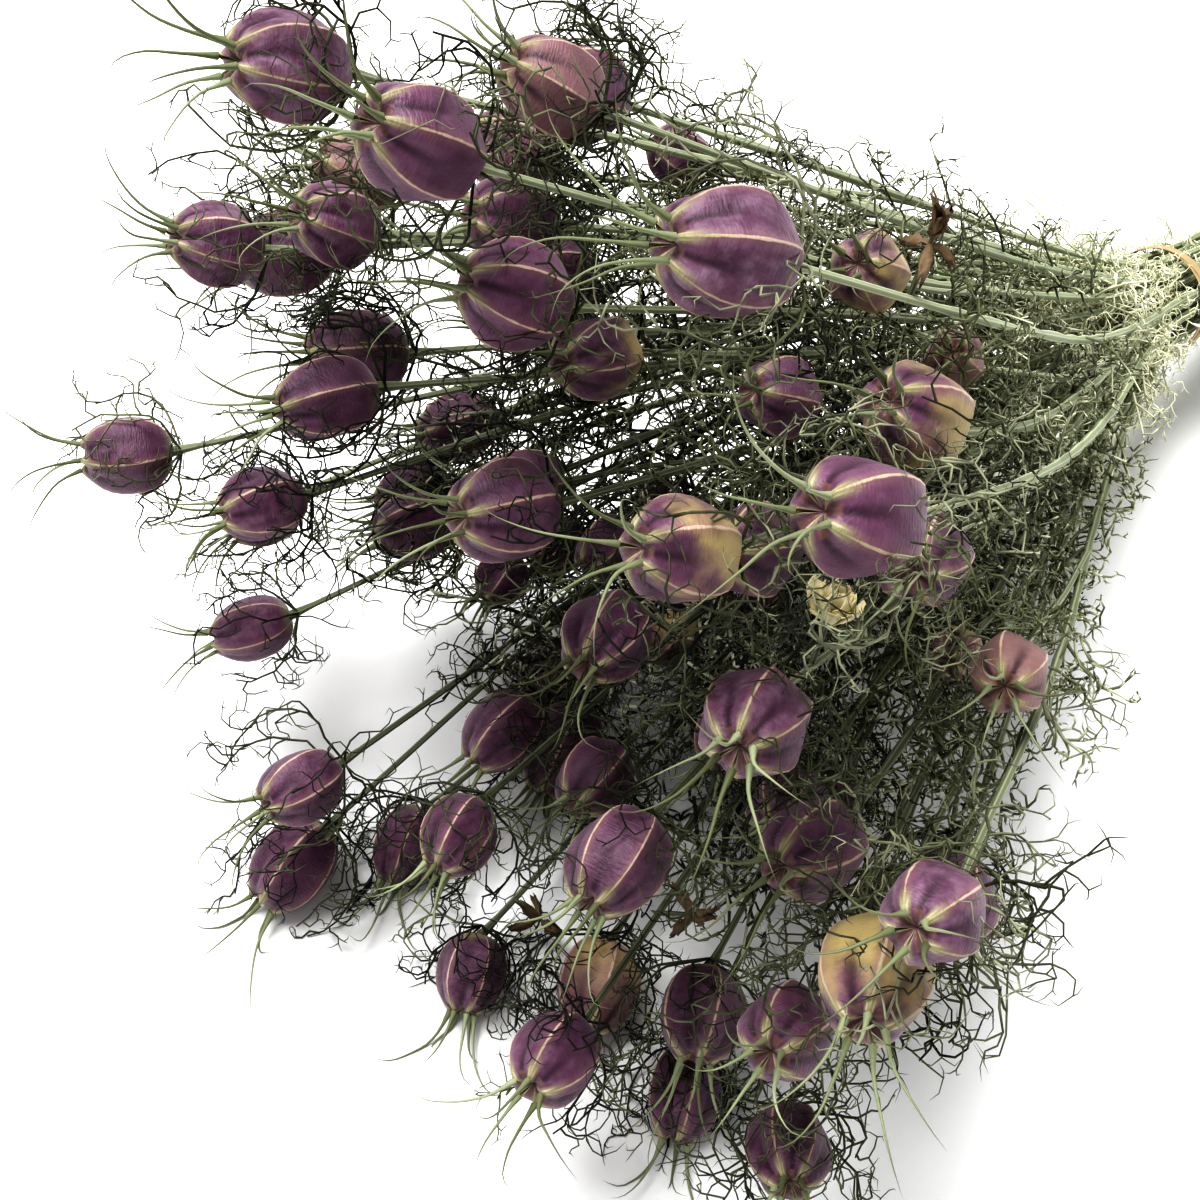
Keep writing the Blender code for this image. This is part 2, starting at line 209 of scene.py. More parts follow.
def draw_head(rng, index):
    """One drawn seed head: where its stem runs, and how long, wide and lobed it is."""
    side = index % SIDE_EVERY == 1
    share = math.sqrt((index + 0.5) / HEADS) + rng.uniform(-SHARE_JITTER, SHARE_JITTER)
    share = min(1.0, max(CORE_SHARE, share))
    turn = index * GOLDEN_ANGLE + rng.uniform(-TURN_JITTER, TURN_JITTER) / max(share, TURN_CORE)
    spread = LENGTH_SPREAD[0] + (LENGTH_SPREAD[1] - LENGTH_SPREAD[0]) * share
    length = FAN_LENGTH * (1 + rng.uniform(-1, 1) * spread)
    if side:
        length *= rng.uniform(RIM_SIDE_LENGTH if share > RIM_SHARE else SIDE_LENGTH[0], SIDE_LENGTH[1])
    head = {
        "index": index,
        "side": side,
        "disc": (share * math.cos(turn), share * math.sin(turn)),
        "length": length,
        "width": rng.uniform(*(SIDE_WIDTH if side else MAIN_WIDTH)),
        "spin": rng.uniform(0, 2 * math.pi),
        "lobes": SIDE_LOBES if side else rng.choice(LOBES),
        "seed": rng.randrange(1 << 20),
    }
    head["height"] = head["width"] * rng.uniform(*POD_STRETCH)
    base = on_flow(head["disc"], length)
    forward = unit(base - on_flow(head["disc"], length - head["height"]))
    lean = np.array([rng.uniform(-1, 1) for _ in range(3)]) * POD_LEAN
    head["base"] = base
    head["axis"] = unit(forward + lean - forward * float(lean @ forward))
    if base[2] < 2 * head["width"]:
        head["spin"] = 0.0
    underside = lowest_of_pod(head)
    if underside < SETTLE_HEIGHT:
        head["base"] = base - np.array([0.0, 0.0, underside])
    head["middle"] = head["base"] + head["axis"] * head["height"] / 2
    return head


# %% Run the stems
def stem_path(head):
    """The middle line of a main stem from its cut end to the pod that it carries."""
    rng = random.Random(head["seed"] + 1)
    tail = rng.uniform(0, TAIL_SPREAD) - TAIL_LENGTH
    points = [lifted(on_flow(head["disc"], tail), STEM_RADII[0])]
    for distance in (station for station in STEM_STATIONS if station < head["length"] - LAST_RUN):
        phase = rng.uniform(0, 2 * math.pi)
        sway = STEM_SWAY * max(0.0, distance - STEM_STATIONS[1])
        offset = laid(sway * math.cos(phase), 0, sway * math.sin(phase)) - laid(0, 0, 0)
        points.append(lifted(on_flow(head["disc"], distance) + offset, 2 * STEM_RADII[0]))
    points.append(head["base"])
    return points


def nearest_on(path, point):
    """The nearest point to this one on a line of straight runs."""
    best = None
    for start, end in zip(path, path[1:]):
        run = end - start
        share = min(1.0, max(0.0, float((point - start) @ run) / float(run @ run)))
        found = start + share * run
        if best is None or np.linalg.norm(found - point) < np.linalg.norm(best - point):
            best = found
    return best


def side_path(head):
    """The middle line of a side stem, from inside the main stem to its own pod."""
    rng = random.Random(head["seed"] + 2)
    start = head["length"] * rng.uniform(*BRANCH_SHARE)
    main = head["host"]["disc"]
    own = head["disc"]
    points = [nearest_on(stem_path(head["host"]), on_flow(main, start))]
    for i in range(1, SIDE_POINTS - 1):
        share = i / (SIDE_POINTS - 1)
        ease = share * share * (3 - 2 * share)
        disc = (main[0] + (own[0] - main[0]) * ease, main[1] + (own[1] - main[1]) * ease)
        distance = start + (head["length"] - start) * share
        points.append(lifted(on_flow(disc, distance), 2 * STEM_RADII[0]))
    points.append(head["base"])
    return points


# %% Space the heads and pair the side heads with their stems
def solids_of(head):
    """Spheres that stand for a head's pod and horns, and points down its stem, for spacing."""
    tip = head["base"] + head["axis"] * (head["height"] + HORN_ROOM[0] * head["width"])
    pod = [(head["middle"], head["height"] / 2), (tip, HORN_ROOM[1] * head["width"])]
    start = on_flow(head["disc"], SAMPLED_FROM * head["length"])
    path = [start, head["base"]] if head["side"] else stem_path(head)[-4:]
    stem = [(first + (last - first) * i / SAMPLES, 2 * STEM_RADII[0])
            for first, last in zip(path, path[1:]) for i in range(SAMPLES)]
    return pod, stem


def gap_between(first, second):
    """The least gap between two heads, where stems may pass close to stems."""
    pairs = [(a, b) for a in first[0] for b in second[0] + second[1]]
    pairs += [(a, b) for a in first[1] for b in second[0]]
    return min(np.linalg.norm(a[0] - b[0]) - a[1] - b[1] for a, b in pairs)


def lay_out_heads():
    """Places the heads in a sunflower spiral, each the roomiest of a few seeded draws."""
    rng = random.Random(SEED)
    heads = []
    for index in range(HEADS):
        best = None
        for _ in range(DRAWS):
            head = draw_head(rng, index)
            head["solids"] = solids_of(head)
            head["room"] = min([gap_between(head["solids"], other["solids"]) for other in heads] or [1.0])
            if best is None or head["room"] > best["room"]:
                best = head
        heads.append(best)
    return heads


def pair_heads(heads):
    """Gives each side head the nearest free main stem."""
    free = [head for head in heads if not head["side"]]
    for head in (head for head in heads if head["side"]):
        host = min(free, key=lambda main: math.dist(main["disc"], head["disc"]))
        free = [main for main in free if main is not host]
        head["host"] = host


def open_air(head):
    """0 for a stem deep inside or under the bunch, 1 for one on its open upper side; it sets the painted shade of pods,
    stems and threads.
    """
    across, up = head["disc"]
    return min(1.0, max(0.0, 0.7 * math.hypot(across, up) + 0.45 * up))


heads = lay_out_heads()
pair_heads(heads)
tie_low, tie_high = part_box("tie")
TO_WORLD = np.array((tie_low + tie_high) / 2) - np.array([0.0, 0.0, TIE_HEIGHT])
print(len(heads), "heads, moved into the frame by", TO_WORLD.round(5))

# %% [markdown]
# ## Two helpers for node trees
# Materials and Geometry Nodes are both graphs of nodes. Writing one by hand in Python is easier
# with a helper that adds a node, sets it up and wires it in one go.


# %% Helpers for nodes
def add_node(tree, kind, inputs=None, **settings):
    """Adds a node. A value given for an input is set on it, and a socket given for it is linked."""
    made = tree.nodes.new(kind)
    for name, value in settings.items():
        setattr(made, name, value)
    for key, value in (inputs or {}).items():
        if isinstance(value, bpy.types.NodeSocket):
            tree.links.new(value, made.inputs[key])
        else:
            made.inputs[key].default_value = value
    return made


def calculate(tree, operation, first, second=0.0, clamp=False):
    """The result socket of one sum."""
    return add_node(tree, "ShaderNodeMath", {0: first, 1: second}, operation=operation, use_clamp=clamp).outputs[0]


def step_between(tree, value, low, high, smooth=True):
    """0 below low and 1 above high, eased in between."""
    made = add_node(tree, "ShaderNodeMapRange", {"Value": value, "From Min": low, "From Max": high},
                    interpolation_type="SMOOTHSTEP" if smooth else "LINEAR")
    return made.outputs["Result"]


def blend(tree, factor, first, second, mode="MIX"):
    """The colour between two colours."""
    made = add_node(tree, "ShaderNodeMix", {"Factor": factor}, data_type="RGBA", blend_type=mode)
    for socket, value in ((made.inputs[6], first), (made.inputs[7], second)):
        if isinstance(value, bpy.types.NodeSocket):
            tree.links.new(value, socket)
        else:
            socket.default_value = (*value, 1)
    return made.outputs[2]


def attribute(tree, name):
    """The value of a named attribute of the mesh."""
    return add_node(tree, "ShaderNodeAttribute", attribute_name=name).outputs["Fac"]


def new_material(name):
    """A material with one Principled shader, its tree, and that shader."""
    material = bpy.data.materials.new(name)
    material.use_nodes = True
    return material, material.node_tree, material.node_tree.nodes["Principled BSDF"]


def new_geometry_tree(name, inputs):
    """A Geometry Nodes tree with named inputs, given as (name, socket type, value)."""
    tree = bpy.data.node_groups.new(name, "GeometryNodeTree")
    tree.interface.new_socket("Geometry", in_out="INPUT", socket_type="NodeSocketGeometry")
    tree.interface.new_socket("Geometry", in_out="OUTPUT", socket_type="NodeSocketGeometry")
    for label, kind, value in inputs:
        socket = tree.interface.new_socket(label, in_out="INPUT", socket_type=kind)
        if value is not None:
            socket.default_value = value
    return tree


def run_tree(piece, tree, values):
    """Runs a Geometry Nodes tree on an object and keeps the result as its plain mesh."""
    modifier = piece.modifiers.new(tree.name, "NODES")
    modifier.node_group = tree
    for socket in tree.interface.items_tree:
        if socket.item_type == "SOCKET" and socket.in_out == "INPUT" and socket.name in values:
            modifier[socket.identifier] = values[socket.name]
    graph = bpy.context.evaluated_depsgraph_get()
    made = bpy.data.meshes.new_from_object(piece.evaluated_get(graph))
    piece.modifiers.clear()
    finish = next(material for material in made.materials if material)
    made.materials.clear()
    made.materials.append(finish)
    made.polygons.foreach_set("material_index", [0] * len(made.polygons))
    old = piece.data
    piece.data = made
    made.name = piece.name
    bpy.data.meshes.remove(old)
    return piece


def new_piece(name, mesh):
    """An object that holds this mesh, linked to the scene."""
    piece = bpy.data.objects.new(name, mesh)
    bpy.context.scene.collection.objects.link(piece)
    return piece


def triangles(piece):
    """How many triangles a piece has."""
    return sum(len(face.vertices) - 2 for face in piece.data.polygons)


# %% [markdown]
# ## The pods
# A pod is a papery capsule of five or six cells. Seams run up it as raised pale lines, and near the
# top each seam lifts off into a folded lip that ends in a horn, while the walls between the lips
# fold down into a sunken star. A lathe can't make that, so the surface is a grid: rows go up the
# pod and columns go round it. Each row knows two places, on a seam and in the middle of a cell, and
# each column knows how near a seam it is, so the rest is blending.

# %% The rows and columns of a pod
SEAM_COLUMNS = (-0.34, -0.20, -0.11, -0.045, 0.0, 0.045, 0.11, 0.20, 0.34, 0.5)
SIDE_ROWS = (0.0, 0.02, 0.06, 0.13, 0.22, 0.33, 0.45, 0.57, 0.68, 0.78)
FOOT_ROWS = ((0.085, 0.02), (0.20, 0.004))
LIP_ROWS = 4
LIP_BEND = (0.62, 0.92)
LIP_TOP = (2 * HORN_RADIUS, NECK_HEIGHT)
CELL_BEND = (0.64, 0.90)
CELL_TOP = (0.40, 0.935)
POCKET_LIP = ((0.28, 0.995), (0.16, 0.945), (0.05, 0.89))
POCKET_CELL = ((0.29, 0.935), (0.16, 0.91), (0.05, 0.875))
STAR_HEIGHT = 0.868
POCKET_HALF = 0.12
POCKET_DEPTH = 0.075
SEAM_RISE = 0.014
CREASE_DEPTH = 0.030
TIP_FOLD_DEPTH = 0.085


def curve_between(start, bend, end, count):
    """Points on a curve that leaves start, leans towards bend and arrives at end."""
    made = []
    for i in range(1, count + 1):
        t = i / count
        made.append(tuple((1 - t) ** 2 * a + 2 * t * (1 - t) * b + t * t * c
                          for a, b, c in zip(start, bend, end)))
    return made


def pod_profiles():
    """Radius and height along a seam and along the middle of a cell, in shares of half width and height."""
    side = [(pod_width_share(t), t) for t in SIDE_ROWS]
    cell = [(radius * (1 - GROOVE_DEPTH), t) for radius, t in side]
    lip = curve_between(side[-1], LIP_BEND, LIP_TOP, LIP_ROWS)
    turn = curve_between(cell[-1], CELL_BEND, CELL_TOP, LIP_ROWS)
    return (np.array(list(FOOT_ROWS) + side + lip + list(POCKET_LIP)),
            np.array(list(FOOT_ROWS) + cell + turn + list(POCKET_CELL)))


# %% One pod of unit width and height
def unit_pod(name, lobes, seed):
    """A pod one unit wide and high: its mesh carries how near the seam and how high it is, and how deep in a lip's
    sunken pocket, for that pocket's painted shade.
    """
    rng = np.random.default_rng(seed)
    seam, cell = pod_profiles()
    rows = len(seam)
    columns = lobes * len(SEAM_COLUMNS)
    near = np.array(SEAM_COLUMNS * lobes)
    which = np.repeat(np.arange(lobes), len(SEAM_COLUMNS))
    away = np.abs(near)
    height = seam[:, 1].clip(0, 1)
    lip = np.clip((np.arange(rows) - len(FOOT_ROWS) - len(SIDE_ROWS) + 3) / (LIP_ROWS + 2), 0, 1)
    pocket_from = rows - len(POCKET_LIP)
    spread = 0.33 - 0.19 * lip
    ridge = ((1 - lip)[:, None] * (1 - np.sin(np.pi * away))[None, :]
             + lip[:, None] * np.exp(-(away[None, :] / spread[:, None]) ** 2))
    in_pocket = np.zeros((rows, columns))
    for row in range(pocket_from, rows):
        rim = np.where(away < POCKET_HALF, 1.0, np.exp(-((away - POCKET_HALF) / 0.10) ** 2))
        ridge[row] = rim
        in_pocket[row] = np.clip(1 - away / POCKET_HALF, 0, 1)
    in_pocket[rows - 1] *= 0.3
    radius = seam[:, None, 0] * ridge + cell[:, None, 0] * (1 - ridge)
    up = seam[:, None, 1] * ridge + cell[:, None, 1] * (1 - ridge)
    body = np.sin(np.pi * np.clip(height, 0, 1))[:, None] ** 0.5
    radius = radius + SEAM_RISE * np.exp(-(away / 0.035) ** 2)[None, :] * body * (1 - lip)[:, None]
    crease = np.exp(-((0.5 - away) / 0.06) ** 2)[None, :]
    radius = radius - CREASE_DEPTH * crease * (height ** 1.5)[:, None] * (1 - lip)[:, None]
    fold = np.exp(-((0.5 - away) / 0.13) ** 2)[None, :] * np.exp(-((height - 0.80) / 0.13) ** 2)[:, None]
    radius = radius - TIP_FOLD_DEPTH * fold * (1 - 0.6 * lip)[:, None]
    up = up - POCKET_DEPTH * in_pocket
    swell = 1 + rng.uniform(-0.035, 0.03, lobes)[which][None, :] * body * (np.cos(np.pi * near) ** 2)[None, :]
    phase = rng.uniform(0, 2 * np.pi, 3)
    turn = 2 * np.pi * (which + near) / lobes
    wave = 1 + 0.012 * body * (np.sin(2 * turn[None, :] + 3 * height[:, None] + phase[0])
                               + 0.6 * np.sin(3 * turn[None, :] - 5 * height[:, None] + phase[1]))
    radius = 0.5 * radius * np.where(lip[:, None] < 1, swell * wave, 1.0)
    twist = rng.uniform(-0.16, 0.16) * (1 - height)[:, None]
    angle = turn[None, :] + twist
    points = np.stack([radius * np.cos(angle), radius * np.sin(angle), up], axis=2).reshape(-1, 3)
    points = np.vstack([points, [[0, 0, STAR_HEIGHT], [0, 0, 0.03]]])
    faces = []
    for row in range(rows - 1):
        for k in range(columns):
            a = row * columns + k
            b = row * columns + (k + 1) % columns
            faces.append((a, b, b + columns, a + columns))
    last = (rows - 1) * columns
    for k in range(columns):
        after = (k + 1) % columns
        faces.append((last + k, last + after, rows * columns))
        faces.append((after, k, rows * columns + 1))
    mesh = bpy.data.meshes.new(name)
    mesh.from_pydata(points.tolist(), [], faces)
    mesh.attributes.new("pod_place", "FLOAT_VECTOR", "POINT").data.foreach_set("vector", points.reshape(-1))
    values = {
        "from_seam": np.append(np.tile(away, rows), [0.5, 0.5]),
        "up_pod": np.append(np.repeat(height, columns), [1.0, 0.0]),
        "in_lip": np.append(in_pocket.reshape(-1), [0.0, 0.0]),
        "lip_part": np.append(np.repeat(lip, columns), [1.0, 0.0]),
    }
    for label, value in values.items():
        mesh.attributes.new(label, "FLOAT", "POINT").data.foreach_set("value", value.astype(np.float32))
    mesh.shade_smooth()
    return mesh


POD_SHAPES = 4
pod_shapes = bpy.data.collections.new("pod_shapes")
for lobes in sorted(set(LOBES)):
    for shape in range(POD_SHAPES):
        label = f"pod_shape_{lobes}_{shape}"
        pod_shapes.objects.link(bpy.data.objects.new(label, unit_pod(label, lobes, 10 * lobes + shape)))

# %% [markdown]
# Geometry Nodes now sets a pod on every stem. Each head becomes one point that carries its size,
# its turn and a few colour values, Instance on Points puts a pod shape there, and Realize Instances
# makes real mesh of it, because instances would be lost on export.


# %% Set the pods on their stems
def euler_of(head):
    """The turn that takes a unit pod to this head's axis and spin."""
    u, v = frame_along(head["axis"], head["spin"])
    return mathutils.Matrix(np.column_stack([u, v, head["axis"]]).tolist()).to_euler()


place_pods = new_geometry_tree("place_pods", [
    ("Pods", "NodeSocketCollection", None),
    ("Skin", "NodeSocketMaterial", None),
])


def fill_place_pods(tree):
    """Puts a pod of the wanted shape, size and turn on every point."""
    start = add_node(tree, "NodeGroupInput")
    end = add_node(tree, "NodeGroupOutput")
    pods = add_node(tree, "GeometryNodeCollectionInfo", {"Collection": start.outputs["Pods"],
                                                        "Separate Children": True, "Reset Children": True})
    shape = add_node(tree, "GeometryNodeInputNamedAttribute", {"Name": "shape"}, data_type="INT")
    turn = add_node(tree, "GeometryNodeInputNamedAttribute", {"Name": "turn"}, data_type="FLOAT_VECTOR")
    size = add_node(tree, "GeometryNodeInputNamedAttribute", {"Name": "size"}, data_type="FLOAT_VECTOR")
    rotation = add_node(tree, "FunctionNodeEulerToRotation", {"Euler": turn.outputs["Attribute"]})
    placed = add_node(tree, "GeometryNodeInstanceOnPoints", {
        "Points": start.outputs["Geometry"],
        "Instance": pods.outputs["Instances"],
        "Pick Instance": True,
        "Instance Index": shape.outputs["Attribute"],
        "Rotation": rotation.outputs["Rotation"],
        "Scale": size.outputs["Attribute"],
    })
    real = add_node(tree, "GeometryNodeRealizeInstances", {"Geometry": placed.outputs["Instances"]})
    skinned = add_node(tree, "GeometryNodeSetMaterial", {"Geometry": real.outputs["Geometry"],
                                                        "Material": start.outputs["Skin"]})
    tree.links.new(skinned.outputs["Geometry"], end.inputs["Geometry"])


fill_place_pods(place_pods)


# %% [markdown]
# ## Shared effects
# Dry plants never have one even colour. Two small node groups give every material here its
# patches and its fibres. A group is built once and placed in each material with its own values.


# %% The two effects
def new_effect(name, inputs, output):
    """A shader node group with named inputs, given as (name, socket type, value), and one output."""
    tree = bpy.data.node_groups.new(name, "ShaderNodeTree")
    for label, kind, value in inputs:
        socket = tree.interface.new_socket(label, in_out="INPUT", socket_type=kind)
        if value is not None:
            socket.default_value = value
    tree.interface.new_socket(output, in_out="OUTPUT", socket_type="NodeSocketFloat")
    return tree, add_node(tree, "NodeGroupInput"), add_node(tree, "NodeGroupOutput")


def build_dry_patches():
    """Soft-edged patches of ageing: 0 on fresh skin, 1 on an aged patch."""
    tree, start, end = new_effect("dry_patches", [
        ("Vector", "NodeSocketVector", None),
        ("Scale", "NodeSocketFloat", 5.0),
        ("Share", "NodeSocketFloat", 0.5),
        ("Softness", "NodeSocketFloat", 0.12),
    ], "Patch")
    noise = add_node(tree, "ShaderNodeTexNoise", {
        "Vector": start.outputs["Vector"], "Scale": start.outputs["Scale"], "Detail": 4.0, "Roughness": 0.6})
    edge = calculate(tree, "SUBTRACT", 1.0, start.outputs["Share"])
    low = calculate(tree, "SUBTRACT", edge, start.outputs["Softness"])
    high = calculate(tree, "ADD", edge, start.outputs["Softness"])
    tree.links.new(step_between(tree, noise.outputs["Fac"], low, high), end.inputs["Patch"])
    return tree


def build_dry_fibres():
    """Fine streaks along one direction: the height of shrunken fibres."""
    tree, start, end = new_effect("dry_fibres", [
        ("Vector", "NodeSocketVector", None),
        ("Stretch", "NodeSocketVector", (1.0, 1.0, 12.0)),
        ("Scale", "NodeSocketFloat", 20.0),
    ], "Height")
    stretched = add_node(tree, "ShaderNodeVectorMath", {0: start.outputs["Vector"], 1: start.outputs["Stretch"]},
                         operation="MULTIPLY")
    noise = add_node(tree, "ShaderNodeTexNoise", {
        "Vector": stretched.outputs[0], "Scale": start.outputs["Scale"], "Detail": 3.0, "Roughness": 0.55})
    tree.links.new(noise.outputs["Fac"], end.inputs["Height"])
    return tree


DRY_PATCHES = build_dry_patches()
DRY_FIBRES = build_dry_fibres()


def effect(tree, group, **inputs):
    """Places an effect group and gives back its output."""
    placed = add_node(tree, "ShaderNodeGroup", node_tree=group)
    for name, value in inputs.items():
        if isinstance(value, bpy.types.NodeSocket):
            tree.links.new(value, placed.inputs[name])
        else:
            placed.inputs[name].default_value = value
    return placed.outputs[0]


print("effects:", DRY_PATCHES.name, DRY_FIBRES.name)

# %% [markdown]
# ## The skin of a pod
# The real skin is deep plum with a dusty lilac bloom, crossed by fine wrinkles. The seams are pale
# lines with a soft yellowish glow beside them, and the lips at the top turn green. The crease between
# two seams and the sunken pockets at the top are darkened with painted shade. Some pods dried golden.
# The mesh carries where each point is on its pod, so every one of these follows the shape, whichever
# way the pod points.

# %% Pod colours
PLUM = (0.058, 0.017, 0.043)
MAUVE = (0.185, 0.080, 0.142)
LILAC_BLOOM = (0.390, 0.275, 0.350)
# Painted shade in the crease between two seams.
CREASE_SHADE_PLUM = (0.034, 0.011, 0.024)
SEAM_CREAM = (0.600, 0.480, 0.380)
SEAM_GLOW = (0.270, 0.140, 0.150)
GOLD = (0.470, 0.375, 0.180)
TAN = (0.330, 0.205, 0.165)
LIP_GREEN = (0.330, 0.340, 0.165)
STAR_BROWN = (0.210, 0.120, 0.090)
SPECK_WHITE = (0.620, 0.540, 0.560)
POD_ROUGHNESS = 0.52


def make_pod_skin():
    """The material of the pods."""
    material, tree, shader = new_material("pod_skin")
    place = add_node(tree, "ShaderNodeAttribute", attribute_name="pod_place").outputs["Vector"]
    seed = attribute(tree, "pod_seed")
    apart = add_node(tree, "ShaderNodeVectorMath", {0: place, 1: (0, 0, 0)}, operation="ADD")
    shift = add_node(tree, "ShaderNodeCombineXYZ", {"X": calculate(tree, "MULTIPLY", seed, 37.0),
                                                  "Y": calculate(tree, "MULTIPLY", seed, 11.0)})
    tree.links.new(shift.outputs[0], apart.inputs[1])
    spot = apart.outputs[0]
    from_seam = attribute(tree, "from_seam")
    up = attribute(tree, "up_pod")
    lip = attribute(tree, "lip_part")

    patches = effect(tree, DRY_PATCHES, Vector=spot, Scale=3.2, Share=0.5, Softness=0.22)
    # Dry patches and the pod's tone, which is partly painted shade, set plum to mauve.
    tone = calculate(tree, "ADD", calculate(tree, "MULTIPLY", patches, 0.45),
                     calculate(tree, "MULTIPLY", attribute(tree, "pod_tone"), 0.55))
    colour = blend(tree, tone, PLUM, MAUVE)
    # Lilac bloom in patches; how much a pod gets is partly painted light on the bunch's open side.
    bloom_and_light = effect(tree, DRY_PATCHES, Vector=spot, Scale=7.5, Share=0.42, Softness=0.25)
    bloom_and_light = calculate(tree, "MULTIPLY", bloom_and_light, attribute(tree, "pod_bloom"))
    colour = blend(tree, bloom_and_light, colour, LILAC_BLOOM)

    gold_noise = add_node(tree, "ShaderNodeTexNoise", {"Vector": spot, "Scale": 2.6, "Detail": 5.0}).outputs["Fac"]
    gold_edge = calculate(tree, "ADD", calculate(tree, "MULTIPLY", attribute(tree, "pod_gold"), 1.15),
                          calculate(tree, "MULTIPLY", gold_noise, 0.7))
    gold_edge = calculate(tree, "ADD", gold_edge, calculate(tree, "MULTIPLY",
                          calculate(tree, "SUBTRACT", 0.45, up), 0.45))
    gold = step_between(tree, gold_edge, 0.82, 1.12)
    colour = blend(tree, gold, colour, GOLD)
    colour = blend(tree, calculate(tree, "MULTIPLY", attribute(tree, "pod_tan"), 0.8), colour, TAN)

    # Painted shade: the crease between two seams darkens towards the top of the pod.
    crease = step_between(tree, from_seam, 0.30, 0.5)
    crease = calculate(tree, "MULTIPLY", crease, step_between(tree, up, 0.35, 0.95))
    colour = blend(tree, calculate(tree, "MULTIPLY", crease, 0.85), colour, CREASE_SHADE_PLUM)

    wander = add_node(tree, "ShaderNodeTexNoise", {"Vector": spot, "Scale": 9.0, "Detail": 3.0}).outputs["Fac"]
    ragged = calculate(tree, "ADD", from_seam, calculate(tree, "MULTIPLY",
                       calculate(tree, "SUBTRACT", wander, 0.5), 0.05))
    glow = step_between(tree, ragged, 0.20, 0.02)
    colour = blend(tree, calculate(tree, "MULTIPLY", glow, 0.45), colour, SEAM_GLOW)
    seam = step_between(tree, ragged, 0.034, 0.012)
    line = blend(tree, step_between(tree, up, 0.6, 0.95), SEAM_CREAM, LIP_GREEN)
    colour = blend(tree, calculate(tree, "MULTIPLY", seam, 0.85), colour, line)

    foot = step_between(tree, up, 0.10, 0.0)
    colour = blend(tree, calculate(tree, "MULTIPLY", foot, 0.55), colour, LIP_GREEN)
    near_lip = calculate(tree, "MULTIPLY", step_between(tree, lip, 0.35, 0.95), step_between(tree, from_seam, 0.26, 0.08))
    colour = blend(tree, calculate(tree, "MULTIPLY", near_lip, 0.75), colour, LIP_GREEN)
    rim = calculate(tree, "MULTIPLY", step_between(tree, lip, 0.6, 1.0),
                    step_between(tree, calculate(tree, "ABSOLUTE", calculate(tree, "SUBTRACT", from_seam, 0.10)), 0.035, 0.01))
    colour = blend(tree, calculate(tree, "MULTIPLY", rim, 0.6), colour, SEAM_CREAM)
    # Painted shade: the sunken pockets at the top of the lips are darkened nearly to black.
    colour = blend(tree, calculate(tree, "MULTIPLY", attribute(tree, "in_lip"), 0.8), colour, (0.045, 0.055, 0.022))
    star = calculate(tree, "MULTIPLY", step_between(tree, lip, 0.9, 1.0), step_between(tree, from_seam, 0.2, 0.4))
    colour = blend(tree, calculate(tree, "MULTIPLY", star, 0.6), colour, STAR_BROWN)

    specks = add_node(tree, "ShaderNodeTexVoronoi", {"Vector": spot, "Scale": 26.0}).outputs["Distance"]
    specks = calculate(tree, "MULTIPLY", step_between(tree, specks, 0.13, 0.06),
                       effect(tree, DRY_PATCHES, Vector=spot, Scale=4.0, Share=0.36, Softness=0.06))
    colour = blend(tree, calculate(tree, "MULTIPLY", specks, 0.5), colour, SPECK_WHITE)
    tree.links.new(colour, shader.inputs["Base Color"])

    rough = add_node(tree, "ShaderNodeMapRange", {"Value": bloom_and_light, "To Min": POD_ROUGHNESS - 0.06,
                                                  "To Max": POD_ROUGHNESS + 0.18}).outputs[0]
    tree.links.new(rough, shader.inputs["Roughness"])
    shader.inputs["Specular IOR Level"].default_value = 0.42
    shader.inputs["Sheen Weight"].default_value = 0.12
    shader.inputs["Sheen Roughness"].default_value = 0.5

    wrinkles = effect(tree, DRY_FIBRES, Vector=spot, Stretch=(1.0, 1.0, 7.0), Scale=8.0)
    veins = add_node(tree, "ShaderNodeTexNoise", {"Vector": spot, "Scale": 30.0, "Detail": 4.0}).outputs["Fac"]
    height = calculate(tree, "ADD", wrinkles, calculate(tree, "MULTIPLY", veins, 0.45))
    bump = add_node(tree, "ShaderNodeBump", {"Strength": 0.55, "Distance": 0.0006, "Height": height})
    tree.links.new(bump.outputs[0], shader.inputs["Normal"])
    return material


pod_skin = make_pod_skin()

# %% [markdown]
# Each pod is given its place between dark plum and mauve and its amount of bloom, partly at random and
# partly as painted shade: pods deep in or under the bunch are darker with less bloom, pods on its open
# upper side paler with more. For a few there is a share of gold or tan, as the photograph shows them
# scattered through the bunch.

# %% Give every head its colours and set the pods
GOLDEN_PODS = {47: 0.66, 50: 0.62, 58: 0.62, 29: 0.54, 7: 0.56, 11: 0.50, 36: 0.52, 34: 0.55}
TAN_PODS = {66: 0.55, 48: 0.75, 55: 0.75, 37: 0.6, 36: 0.5, 69: 0.35, 7: 0.3, 34: 0.4}


def colour_of(head):
    """A head's values for tone, bloom, gold, tan and pattern; tone and bloom are partly painted shade by its place."""
    rng = random.Random(head["seed"] + 20)
    return {
        # Painted shade: a pod deep in or under the bunch gets a darker tone and less bloom.
        "pod_tone": 0.45 * rng.random() + 0.55 * open_air(head),
        "pod_bloom": rng.uniform(0.15, 0.65) * (0.35 + 0.65 * open_air(head)),
        "pod_gold": GOLDEN_PODS.get(head["index"], rng.uniform(0, 0.28)),
        "pod_tan": TAN_PODS.get(head["index"], 0.0),
        "pod_seed": rng.random(),
    }


